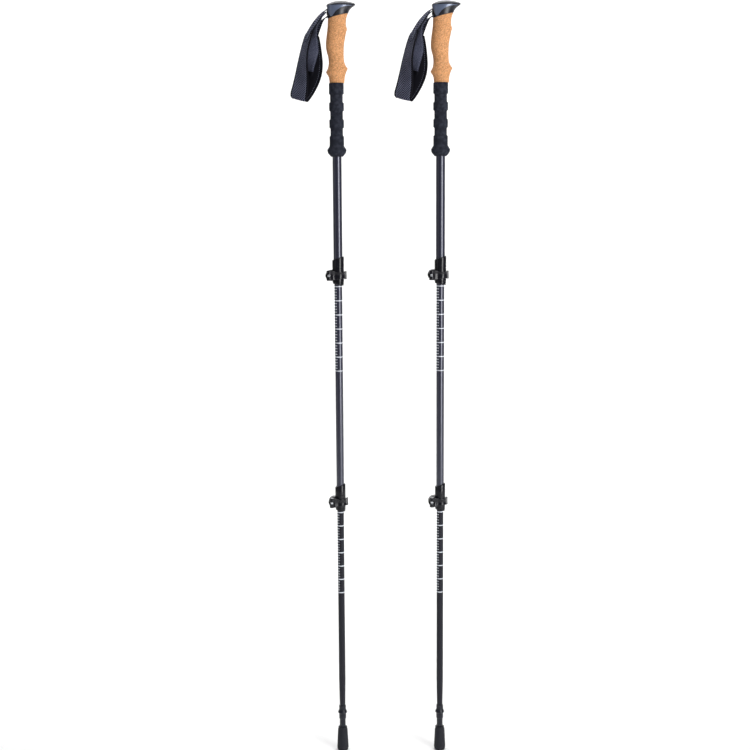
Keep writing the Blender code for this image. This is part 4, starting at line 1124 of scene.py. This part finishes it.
def printed_marks(name, radius, top, settings):
    """Ring marks down the tube and short ticks between them, as a thin layer of ink."""
    points, faces = [], []

    def patch(height, tall, start, end, steps, whole):
        first = len(points)
        count = steps if whole else steps + 1
        for z in (height - tall / 2, height + tall / 2):
            for r in (radius - INK_SUNK, radius + INK_PROUD):
                points.extend((x, y, z) for x, y in arc(r, start, end - start, steps)[:count])
        rows = [first, first + count, first + 3 * count, first + 2 * count]
        for here, there in zip(rows, rows[1:] + rows[:1]):
            for k in range(steps):
                after = (k + 1) % count
                faces.append((here + k, here + after, there + after, there + k))
        if not whole:
            faces.append(tuple(rows))
            faces.append(tuple(row + steps for row in rows))

    for mark in range(settings.mark_count):
        height = top - mark * settings.mark_spacing
        patch(height, settings.mark_height, 0.0, 2 * math.pi, 64, True)
        if mark == settings.mark_count - 1:
            break
        for tick in range(1, settings.ticks_between + 1):
            z = height - tick * settings.mark_spacing / (settings.ticks_between + 1)
            patch(z, TICK_HEIGHT, *TICK_SPAN, 14, False)
    return mesh_of(name, points, faces)


class POLES_OT_tubes(bpy.types.Operator):
    """Build the carbon tubes and their printed length marks"""

    bl_idname = "poles.tubes"
    bl_label = "Tubes"

    def execute(self, context):
        for name, body, clamp in (("top", "upper", "upper"), ("middle", "middle", "lower")):
            node = f"{body}_tube"
            tube = slit_tube(f"{name}_section", f"left_{node}", hinge_place(f"left_{clamp}_lever_hinge").z)
            add_piece(f"{name}_section", tube, "gloss_carbon", body, node)
        bottom = tapered_tube("bottom_section", "left_lower_tube")
        add_piece("bottom_section", bottom, "matt_carbon", "lower", "lower_tube")
        for name, body, clamp, slot in (
            ("middle_marks", "middle", "upper", "carbon_gloss"),
            ("bottom_marks", "lower", "lower", "carbon_matt"),
        ):
            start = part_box(f"left_{clamp}_clamp_collar")[0].z - FIRST_MARK_BELOW
            marks = printed_marks(name, tube_radius(f"left_{body}_tube"), start, context.scene.pole_tube)
            add_piece(name, marks, "mark_ink", body)
        return {"FINISHED"}


# Clamps


def collar_mesh(tube, pivot):
    """A split collar with stepped ends and two round ears, bored for two tubes and the bolt."""
    outside = tube + PART_GAP + COLLAR_WALL
    rings = [round_ring(outside - inset * MM, z * MM, slope, 72) for z, inset, slope in COLLAR_STATIONS]
    body = loft("collar", rings)
    ear_face = EAR_SPLIT / 2 + EAR_THICKNESS
    centre = -(outside + EAR_REACH) + EAR_RADIUS
    outline = [(0.0, EAR_RADIUS), *arc(EAR_RADIUS, math.pi / 2, math.pi, 24, centre), (0.0, -EAR_RADIUS)]
    shrink = [(x * 0.97 + centre * 0.03, z * 0.94) for x, z in outline]
    flat = ear_face - EAR_ROUNDING
    stations = ((-ear_face, shrink), (-flat, outline), (flat, outline), (ear_face, shrink))
    ears = loft("ears", [[Vector((x, y, z)) for x, z in line] for y, line in stations])
    bore = tube + PART_GAP
    next_bore = tube - TUBE_WALL
    step = -OUTER_TUBE_END - PART_GAP
    bore_line = [(0.0, PAST), (bore, PAST), (bore, step), (next_bore, step), (next_bore, -PAST), (0.0, -PAST)]
    half = EAR_SPLIT / 2
    split = block("split", (-outside - EAR_REACH - PAST, -half, -PAST), (-tube / 2, half, SPLIT_TOP))
    hole = bar("hole", BOLT_RADIUS + PART_GAP, (pivot.x, -PAST, 0), (pivot.x, PAST, 0), 24)
    return shaped(body, [
        ("UNION", ears),
        ("DIFFERENCE", turned("bore", bore_line)),
        ("DIFFERENCE", split),
        ("DIFFERENCE", hole),
    ])


def lever_section(place, out, half_depth, half_height):
    """A moulded channel section: rounded corners, with the outer face sunk between two rims."""
    sunk = 0.3 * min(half_depth, 1.3 * MM)
    corner = min(half_depth * 0.55, LEVER_RIM)
    flat = half_height - LEVER_RIM - corner
    upper = [
        (half_depth - sunk, flat - LEVER_RIM * 0.4),
        (half_depth, flat + LEVER_RIM * 0.4),
        (half_depth, half_height - corner * 0.9),
        (half_depth - corner * 0.3, half_height - corner * 0.3),
        (half_depth - corner, half_height),
        (-half_depth + corner, half_height),
        (-half_depth + corner * 0.3, half_height - corner * 0.3),
        (-half_depth, half_height - corner),
    ]
    lower = [(depth, -height) for depth, height in reversed(upper)]
    outline = [lower[-1], *upper, *lower[:-1]]
    return [place + out * depth + Vector((0.0, 0.0, height)) for depth, height in outline]


def lever_mesh(tube, pivot):
    """The cam lever: its barrel eye, the arm wrapped round the collar and the thumb tab."""
    collar = tube + PART_GAP + COLLAR_WALL
    middle = collar + PART_GAP + LEVER_THICKNESS / 2
    thin = LEVER_THICKNESS / 2
    cam_half = CAM_HEIGHT / 2
    path = [
        (pivot.x, pivot.y, 3.6 * MM, cam_half - 0.35 * MM),
        (pivot.x + 5.6 * MM, pivot.y - 0.3 * MM, 2.6 * MM, cam_half - 0.6 * MM),
    ]
    for degrees, half in LEVER_WRAP:
        angle = math.radians(degrees)
        path.append((middle * math.cos(angle), middle * math.sin(angle), thin, half * MM))
    path.append((collar + LEVER_TAB_REACH - thin * 0.8, 3.4 * MM, thin * 0.8, LEVER_WRAP[-1][1] * MM))
    rows = spline(path, 6)
    rings = []
    for i, (x, y, half_depth, half_height) in enumerate(rows):
        way = heading(rows, i)
        along = Vector((way[0], way[1], 0.0)).normalized()
        out = Vector((along.y, -along.x, 0.0))
        end = 1.0 - 0.22 * max(0.0, 1.0 - (len(rows) - 1 - i) / 2)
        rings.append(lever_section(Vector((x, y, 0.0)), out, half_depth * end, half_height * (0.5 + end / 2)))
    eye = BARREL_RADIUS + PART_GAP + CAM_WALL
    soft = 0.5 * MM
    eye_line = [(0.0, cam_half), (eye - soft, cam_half), (eye, cam_half - soft)]
    eye_line += [(r, -z) for r, z in reversed(eye_line)]
    fork_half = BOLT_HEAD_RADIUS + PART_GAP
    fork_line = [(0.0, fork_half), (eye + soft, fork_half), (eye + soft, -fork_half), (0.0, -fork_half)]
    eye_mesh, fork = turned("eye", eye_line, 40), turned("fork", fork_line, 40)
    for mesh in (eye_mesh, fork):
        mesh.transform(Matrix.Translation((pivot.x, pivot.y, 0.0)))
    bore = bar("bore", BARREL_RADIUS + PART_GAP, (pivot.x, pivot.y, -PAST), (pivot.x, pivot.y, PAST))
    return shaped(loft("lever", rings), [("UNION", eye_mesh), ("DIFFERENCE", bore), ("DIFFERENCE", fork)])


def bolt_mesh(pivot):
    """A round-headed bolt from the lever's barrel pin through both ears and the nut."""
    under = -pivot.y + BARREL_RADIUS + PART_GAP
    profile = [(r * MM, under + z * MM) for r, z in BOLT_HEAD]
    profile += [(BOLT_HEAD_RADIUS, under), (BOLT_RADIUS, under)]
    ear_face = EAR_SPLIT / 2 + EAR_THICKNESS
    tail = -ear_face - PART_GAP - NUT_HEIGHT - BOLT_TAIL
    for k in range(BOLT_TURNS * 2 + 1):
        depth = THREAD_DEPTH if k % 2 else 0.0
        profile.append((BOLT_RADIUS - depth, -ear_face + (tail + ear_face) * k / (BOLT_TURNS * 2)))
    profile.append((0.0, tail))
    mesh = turned("bolt", profile, 32)
    mesh.transform(Matrix.Translation((pivot.x, 0.0, 0.0)) @ Matrix.Rotation(math.pi / 2, 4, "X"))
    return mesh


def nut_mesh(pivot):
    """A fluted thumb nut."""
    start = EAR_SPLIT / 2 + EAR_THICKNESS + PART_GAP
    rings = []
    for y, inset in NUT_STATIONS:
        ring = []
        for angle in around(NUT_FLUTES * 16):
            radius = NUT_RADIUS - 0.25 * MM * (1 - math.cos(NUT_FLUTES * angle)) - inset * MM
            ring.append(Vector((radius * math.cos(angle), start + y * MM, radius * math.sin(angle))))
        rings.append(ring)
    hole = bar("hole", BOLT_RADIUS + PART_GAP, (0, start - MM, 0), (0, start + NUT_HEIGHT + MM, 0))
    mesh = shaped(loft("nut", rings), [("DIFFERENCE", hole)])
    mesh.transform(Matrix.Translation((pivot.x, 0.0, 0.0)))
    return mesh


class POLES_OT_clamps(bpy.types.Operator):
    """Build the collars, cam levers, bolts and thumb nuts"""

    bl_idname = "poles.clamps"
    bl_label = "Clamps"

    def execute(self, context):
        for clamp, body in (("upper", "upper"), ("lower", "middle")):
            tube = tube_radius(f"left_{body}_tube")
            pivot = hinge_place(f"left_{clamp}_lever_hinge")
            arm_body, nut_body = f"{clamp}_lever", f"{clamp}_nut"
            for name, mesh, finishes, own, part, slot in (
                ("collar", collar_mesh(tube, pivot), "clamp_plastic", body, "collar", "black_plastic"),
                ("lever_arm", lever_mesh(tube, pivot), "clamp_plastic", arm_body, "lever", "black_plastic"),
                ("bolt", bolt_mesh(pivot), "bright_steel", body, "bolt", "steel"),
                ("thumb_nut", nut_mesh(pivot), "clamp_plastic", nut_body, "nut", "black_plastic"),
            ):
                add_piece(f"{clamp}_{name}", mesh, finishes, own, f"{clamp}_clamp_{part}", pivot.z)
        return {"FINISHED"}


# Tips


def ferrule_outline():
    socket = tube_radius("left_lower_tube") - TIP_TAPER + PART_GAP
    return socket, [(socket + r * MM, z * MM) for z, r in FERRULE_PROFILE]


def ferrule_mesh():
    """The moulded lower end, with its two collars and the sockets for the tube and the carbide."""
    socket, outer = ferrule_outline()
    rounded = [tuple(p) for p in soften(outer, 0.7 * MM)]
    bottom = rounded[-1][1]
    upper = [(0.0, FERRULE_SOCKET_BOTTOM), (socket, FERRULE_SOCKET_BOTTOM), (socket, rounded[0][1])]
    inner = [(CARBIDE_STEM_RADIUS, bottom), (CARBIDE_STEM_RADIUS, CARBIDE_STEM_TOP), (0.0, CARBIDE_STEM_TOP)]
    return turned("ferrule", upper + rounded + inner)


def foot_mesh():
    """The pull-off rubber foot, bored to fit over the ferrule's lower end."""
    socket, outer = ferrule_outline()
    shell = [tuple(p) for p in soften([(socket + r * MM, z * MM) for z, r in FOOT_PROFILE], 1.3 * MM)]
    covered = [p for p in reversed(outer) if p[1] < shell[0][1] + PART_GAP]
    bore = [(0.0, FOOT_FLOOR), (FOOT_FLOOR_RADIUS, FOOT_FLOOR)]
    bore.append((covered[0][0] + PART_GAP, covered[0][1] - PART_GAP))
    bore += [(r + PART_GAP, z) for r, z in covered[1:]]
    return turned("foot", bore + shell + [(0.0, 0.0)])


class POLES_OT_tips(bpy.types.Operator):
    """Build the ferrules and the rubber feet"""

    bl_idname = "poles.tips"
    bl_label = "Tips"

    def execute(self, context):
        add_piece("ferrule", ferrule_mesh(), "ferrule_plastic", "lower", "tip_ferrule")
        add_piece("rubber_foot", foot_mesh(), "foot_rubber", "cap", "rubber_cap")
        return {"FINISHED"}


# Wrist straps


class Band:
    """A flat strip of fabric between two edges, with places on and over it."""

    def __init__(self, pairs, parts):
        first, second = (spline([Vector(pair[edge]) * MM for pair in pairs], parts) for edge in (0, 1))
        self.middles = [(a + b) / 2 + STRAP_PIN for a, b in zip(first, second)]
        self.halves = [(a - b).length / 2 for a, b in zip(first, second)]
        self.across = [(a - b).normalized() for a, b in zip(first, second)]
        self.outs, self.runs = [], []
        for i, across in enumerate(self.across):
            self.outs.append(across.cross(heading(self.middles, i)).normalized())
            self.runs.append(self.runs[-1] + (self.middles[i] - self.middles[i - 1]).length if i else 0.0)
        self.length = self.runs[-1]
        self.rows = list(zip(self.middles, self.across, self.outs, self.halves, self.runs))

    def end_share(self, i, fewest, steps):
        """How far the thickness has grown at this row: from a share at either end to whole after some rows."""
        return min(1.0, fewest + (1.0 - fewest) * min(i, len(self.rows) - 1 - i) / steps)

    def spot(self, run):
        """The place on the middle line after this length: row index and share to the next row."""
        run = min(max(run, 0.0), self.length - 1e-9)
        row = max(i for i, r in enumerate(self.runs) if r <= run)
        return row, (run - self.runs[row]) / (self.runs[row + 1] - self.runs[row])

    def at(self, run, across, lift):
        """A point over the band, at this distance across from the middle line and this height over it."""
        row, share = self.spot(run)
        middle, side, out = (v[row].lerp(v[row + 1], share) for v in (self.middles, self.across, self.outs))
        return middle + side.normalized() * across + out.normalized() * lift

    def half(self, run):
        row, share = self.spot(run)
        return self.halves[row] * (1 - share) + self.halves[row + 1] * share


def padded_slab(name, band, thickness):
    """The wrist loop: crowned on both faces and drawn in along a seam near each edge."""
    outer, inner, run = [], [], []
    for i, (middle, across, out, half, so_far) in enumerate(band.rows):
        end = band.end_share(i, 0.45, 5)
        for k in range(LOOP_COLUMNS + 1):
            s = 2 * k / LOOP_COLUMNS - 1
            seam = math.exp(-(((abs(s) - SEAM_SHARE) / 0.07) ** 2))
            thick = thickness / 2 * (0.45 + 0.55 * (1 - abs(s) ** 3) - 0.2 * seam) * end
            place = middle + across * half * s
            outer.append(place + out * thick)
            inner.append(place - out * thick)
            run.append((so_far, half * s))
    mesh = slab(name, outer, inner, LOOP_COLUMNS, run + run)
    faced = 2 * LOOP_COLUMNS * (len(band.rows) - 1)
    for index, face in enumerate(mesh.polygons):
        face.material_index = index % 2 if index < faced else 1
    return mesh


def flat_section(half_width, half_thickness):
    """A flat section with round edges: offsets across and out."""
    straight = half_width - half_thickness
    near = arc(half_thickness, -math.pi / 2, math.pi, 7, straight)
    return near + arc(half_thickness, math.pi / 2, math.pi, 7, -straight)


def ribbon(name, rows, thickness):
    """Webbing along rows of middle, side, out, half width and length so far."""
    rings, run = [], []
    for middle, side, out, half, so_far in rows:
        section = flat_section(half, thickness / 2)
        rings.append([middle + side * a + out * b for a, b in section])
        run += [(so_far, a) for a, _ in section]
    return loft(name, rings, run=run)


def cord_tube(points, radius):
    """Rings of a thin round thread along a path, drawn in at both ends."""
    rings = []
    side = heading(points, 0).normalized().orthogonal().normalized()
    for i, point in enumerate(points):
        along = heading(points, i).normalized()
        side = (side - along * side.dot(along)).normalized()
        up = along.cross(side)
        own = radius * (0.35 if i in (0, len(points) - 1) else 1.0)
        rings.append([point + side * own * math.cos(a) + up * own * math.sin(a) for a in around(THREAD_SIDES)])
    return rings


def threads(name, paths, radius):
    """Many threads in one mesh."""
    return lofts(name, [cord_tube(path, radius) for path in paths])


def seam_paths(band, share, lift, stitch, start, end):
    """Short stitches along the band at a share of its half width."""
    paths = []
    arch = math.copysign(STITCH_ARCH, lift)
    run = start
    while run + stitch < end:
        spots = [(run + stitch * k / 4, lift + arch * math.sin(math.pi * k / 4)) for k in range(5)]
        paths.append([band.at(here, share * band.half(here), height) for here, height in spots])
        run += stitch * 1.3
    return paths


def zigzag_path(band, start, end, half, teeth, lift):
    step = (end - start) / (teeth * 2)
    return [band.at(start + step * k, half if k % 2 else -half, lift) for k in range(teeth * 2 + 1)]


def binding_mesh(band):
    """Black binding folded over both edges of the wrist loop."""
    tubes, run = [], []
    for sign in (1, -1):
        rings = []
        for i, (middle, across, out, half, so_far) in enumerate(band.rows):
            centre = middle + across * sign * (half - BINDING_HALF_WIDTH * 0.75)
            thick = BINDING_HALF_THICKNESS * band.end_share(i, 0.5, 4)
            section = [(BINDING_HALF_WIDTH * math.cos(a), thick * math.sin(a)) for a in around(14)]
            rings.append([centre + across * a + out * b for a, b in section])
            run += [(so_far, a) for a, _ in section]
        tubes.append(rings)
    return lofts("binding", tubes, run)


def web_rows(loop):
    """The webbing's path: sewn on the loop's outer face, round the pin and back to the loop's other end."""
    lift = OVER_LOOP + WEB_THICKNESS / 2
    low_lift = lift * 0.55

    def row_at(run, height, across):
        return (*(loop.at(run, 0.0, height) - STRAP_PIN), *across)

    def sewn(run):
        return row_at(run, lift, loop.across[loop.spot(run)[0]])

    def strand(table):
        return [(*[c * MM for c in row[:3]], *row[3:]) for row in table]

    inside = [WEB_OVERLAP * share for share in (1.0, 0.66, 0.33)]
    rows = [sewn(run) for run in inside] + [row_at(0.0, low_lift, loop.across[0])]
    rows += strand(reversed(STRAND_OUT))
    bend = [Vector((x, 0.0, z, 0.0, 1.0, 0.0)) for x, z in arc(WEB_BEND * MM, math.pi / 2, -math.pi, 8)]
    back = strand(STRAND_BACK) + [row_at(loop.length, low_lift, loop.across[-1])]
    back += [sewn(loop.length - run) for run in reversed(inside)]
    smooth = spline(rows, 5) + bend + spline(back, 5)
    middles = [Vector(row[:3]) + STRAP_PIN for row in smooth]
    made = []
    so_far = 0.0
    for i, row in enumerate(smooth):
        side = Vector(row[3:]).normalized()
        out = side.cross(heading(middles, i).normalized()).normalized()
        if i:
            so_far += (middles[i] - middles[i - 1]).length
        made.append((middles[i], side, out, WEB_WIDTH / 2, so_far))
    return made


def all_stitches(loop, flap, stitch):
    """The seams near both edges of the loop and of the flap, on both faces."""
    paths = []
    face = LOOP_THICKNESS / 2 * 0.55
    for share in (SEAM_SHARE, -SEAM_SHARE):
        for lift in (face, -face):
            paths += seam_paths(loop, share, lift, stitch, LOOP_SEAM_START, loop.length - LOOP_SEAM_START)
    face = FLAP_THICKNESS / 2
    for share in (0.8, -0.8):
        for lift in (face, -face):
            paths += seam_paths(flap, share, lift, stitch, FLAP_SEAM_START, flap.length - FLAP_SEAM_END)
    return paths


def all_tacks(loop):
    """A zigzag between two straight rows, where each end of the webbing is sewn on the loop."""
    over_web = OVER_LOOP + WEB_THICKNESS + 0.05 * MM
    near, far = TACK_SPAN
    tacks = []
    for start, end in ((near, far), (loop.length - far, loop.length - near)):
        tacks.append(zigzag_path(loop, start, end, 4.6 * MM, 5, over_web))
        for side in (-5.2 * MM, 5.2 * MM):
            tacks.append([loop.at(start + (end - start) * k / 12, side, over_web) for k in range(13)])
    return tacks


class POLES_OT_straps(bpy.types.Operator):
    """Build the wrist straps: loop, binding, webbing, flap and their stitching"""

    bl_idname = "poles.straps"
    bl_label = "Wrist straps"

    def execute(self, context):
        top = head_top()
        loop = Band(LOOP_EDGES, 8)
        flap = Band(FLAP_EDGES, 7)
        slab_mesh = padded_slab("wrist_loop", loop, LOOP_THICKNESS)
        loops = add_piece("wrist_loop", slab_mesh, "loop_face loop_lining", "strap", "strap_pad", top)
        add_piece("loop_binding", binding_mesh(loop), "edge_binding", "strap", "", top)
        web = ribbon("wrist_web", web_rows(loop), WEB_THICKNESS)
        add_piece("wrist_web", web, "web_face", "strap", "strap_webbing", top)
        sheet = ribbon("strap_flap", flap.rows, FLAP_THICKNESS)
        add_piece("strap_flap", sheet, "flap_face", "strap", "strap_tail", top)
        last = [row for row in flap.rows if row[4] > flap.length - HEM_LENGTH]
        hem = ribbon("flap_hem", [(m, s, o, h + 0.3 * MM, r) for m, s, o, h, r in last], HEM_THICKNESS)
        add_piece("flap_hem", hem, "edge_binding", "strap", "", top)
        stitches = all_stitches(loop, flap, context.scene.pole_strap.stitch_length)
        stitching = threads("seam_stitching", stitches, 0.17 * MM)
        add_piece("seam_stitching", stitching, "sewing_thread", "strap", "", top)
        tacking = threads("web_tacks", all_tacks(loop), 0.3 * MM)
        add_piece("web_tacks", tacking, "sewing_thread", "strap", "", top)
        return {"FINISHED"}


# Inner fittings and the studio


class POLES_OT_fittings(bpy.types.Operator):
    """Give the inner fittings, which keep their CAD shape, their finishes"""

    bl_idname = "poles.fittings"
    bl_label = "Inner fittings"

    def execute(self, context):
        for side in SIDES:
            for node, material in FITTINGS.items():
                slot = frame["nodes"][f"{side}_{node}"].material_slots[0]
                slot.link = "OBJECT"
                slot.material = finish(material)
        return {"FINISHED"}


def plain_material(name, colour, roughness):
    material = bpy.data.materials.new(name)
    material.use_nodes = True
    inputs = material.node_tree.nodes["Principled BSDF"].inputs
    inputs["Base Color"].default_value = (*colour, 1.0)
    inputs["Roughness"].default_value = roughness
    return material


def sweep_floor(colour, middle):
    """A floor that curves up into a wall behind the poles."""
    wide, front, back, bend, tall = 7.0, -5.0, 3.2, 1.2, 5.0
    line = [(front, 0.0), *arc(bend, -math.pi / 2, math.pi / 2, 12, back - bend, bend), (back, tall)]
    points = [(x, y, z) for x in (middle - wide / 2, middle + wide / 2) for y, z in line]
    count = len(line)
    mesh = bpy.data.meshes.new("floor")
    mesh.from_pydata(points, [], [(k, count + k, count + k + 1, k + 1) for k in range(count - 1)])
    mesh.shade_smooth()
    mesh.materials.append(plain_material("floor_paint", colour, 0.9))
    linked("floor", mesh)


def area_light(name, power, size, place, target):
    data = bpy.data.lights.new(name, "AREA")
    data.shape = "RECTANGLE"
    data.size, data.size_y = size
    data.energy = power
    light = linked(name, data)
    light.location = place
    light.rotation_euler = (target - place).to_track_quat("-Z", "Y").to_euler()


def set_world():
    """Soft even light from all round."""
    world = bpy.data.worlds.new("studio")
    world.use_nodes = True
    bpy.context.scene.world = world
    background = world.node_tree.nodes["Background"]
    background.inputs["Color"].default_value = (1.0, 1.0, 1.0, 1.0)
    background.inputs["Strength"].default_value = WORLD_LIGHT


def place_camera(settings, middle):
    """A view from the front that holds both poles from head to foot."""
    bottom, top = CAD_BOX[0].z, CAD_BOX[1].z
    place = Vector((middle - settings.camera_aside, -settings.camera_distance, settings.camera_height))
    up = math.atan2(top - place.z, settings.camera_distance)
    down = math.atan2(place.z - bottom, settings.camera_distance)
    tilt = math.pi / 2 + (up - down) / 2
    turn = Matrix.Rotation(tilt, 4, "X") @ Matrix.Rotation(-settings.camera_roll, 4, "Z")
    data = bpy.data.cameras.new("camera")
    data.sensor_width = 36.0
    data.lens = data.sensor_width / 2 / (math.tan((up + down) / 2) * CAMERA_MARGIN)
    camera = linked("camera", data)
    camera.location = place
    camera.rotation_euler = turn.to_euler()
    bpy.context.scene.camera = camera


class POLES_OT_studio(bpy.types.Operator):
    """Build the floor, the lights and the camera"""

    bl_idname = "poles.studio"
    bl_label = "Studio"

    def execute(self, context):
        settings = context.scene.pole_studio
        middle = (axis_x("left") + axis_x("right")) / 2
        centre = Vector((middle, 0.0, 0.0))
        sweep_floor(tuple(settings.floor_colour), middle)
        set_world()
        for name, power, size, place, target in (
            ("key", settings.key_power, (1.2, 2.4), (1.9, -2.2, 1.2), (0.0, 0.0, 0.75)),
            ("top", settings.top_power, (2.0, 1.2), (0.3, -0.9, 2.9), (0.0, 0.0, 1.1)),
            ("side", settings.side_power, (0.3, 2.2), (-2.4, -1.2, 1.1), (0.0, 0.0, 0.7)),
            ("wall", settings.wall_power, (5.0, 1.0), (0.0, 1.1, 3.4), (0.0, 3.2, 1.0)),
            ("ground", settings.ground_power, (4.0, 1.0), (0.0, 0.9, 2.9), (0.0, 1.1, 0.0)),
        ):
            area_light(name, power, size, centre + Vector(place), centre + Vector(target))
        place_camera(settings, middle)
        context.scene.view_settings.view_transform = "Standard"
        return {"FINISHED"}


OPERATORS = (
    POLES_OT_heads,
    POLES_OT_grips,
    POLES_OT_tubes,
    POLES_OT_clamps,
    POLES_OT_tips,
    POLES_OT_straps,
    POLES_OT_fittings,
    POLES_OT_studio,
)
SETTINGS = {
    "pole_grip": GripSettings,
    "pole_tube": TubeSettings,
    "pole_strap": StrapSettings,
    "pole_clamp": ClampSettings,
    "pole_studio": StudioSettings,
}


class POLES_PT_panel(bpy.types.Panel):
    """Lists the settings and the build steps"""

    bl_idname = "POLES_PT_panel"
    bl_label = "Trekking Poles"
    bl_space_type = "VIEW_3D"
    bl_region_type = "UI"
    bl_category = "Poles"

    def draw(self, context):
        for key in SETTINGS:
            box = self.layout.box()
            group = getattr(context.scene, key)
            for field in group.bl_rna.properties.keys():
                if field not in ("rna_type", "name"):
                    box.prop(group, field)
        for operator in OPERATORS:
            self.layout.operator(operator.bl_idname)


def register():
    for key, group in SETTINGS.items():
        bpy.utils.register_class(group)
        setattr(bpy.types.Scene, key, bpy.props.PointerProperty(type=group))
    for operator in OPERATORS:
        bpy.utils.register_class(operator)
    bpy.utils.register_class(POLES_PT_panel)


def unregister():
    bpy.utils.unregister_class(POLES_PT_panel)
    for operator in reversed(OPERATORS):
        bpy.utils.unregister_class(operator)
    for key, group in reversed(SETTINGS.items()):
        delattr(bpy.types.Scene, key)
        bpy.utils.unregister_class(group)


def main():
    register()
    for operator in OPERATORS:
        getattr(bpy.ops.poles, operator.bl_idname.split(".")[1])()


if __name__ == "__main__":
    main()
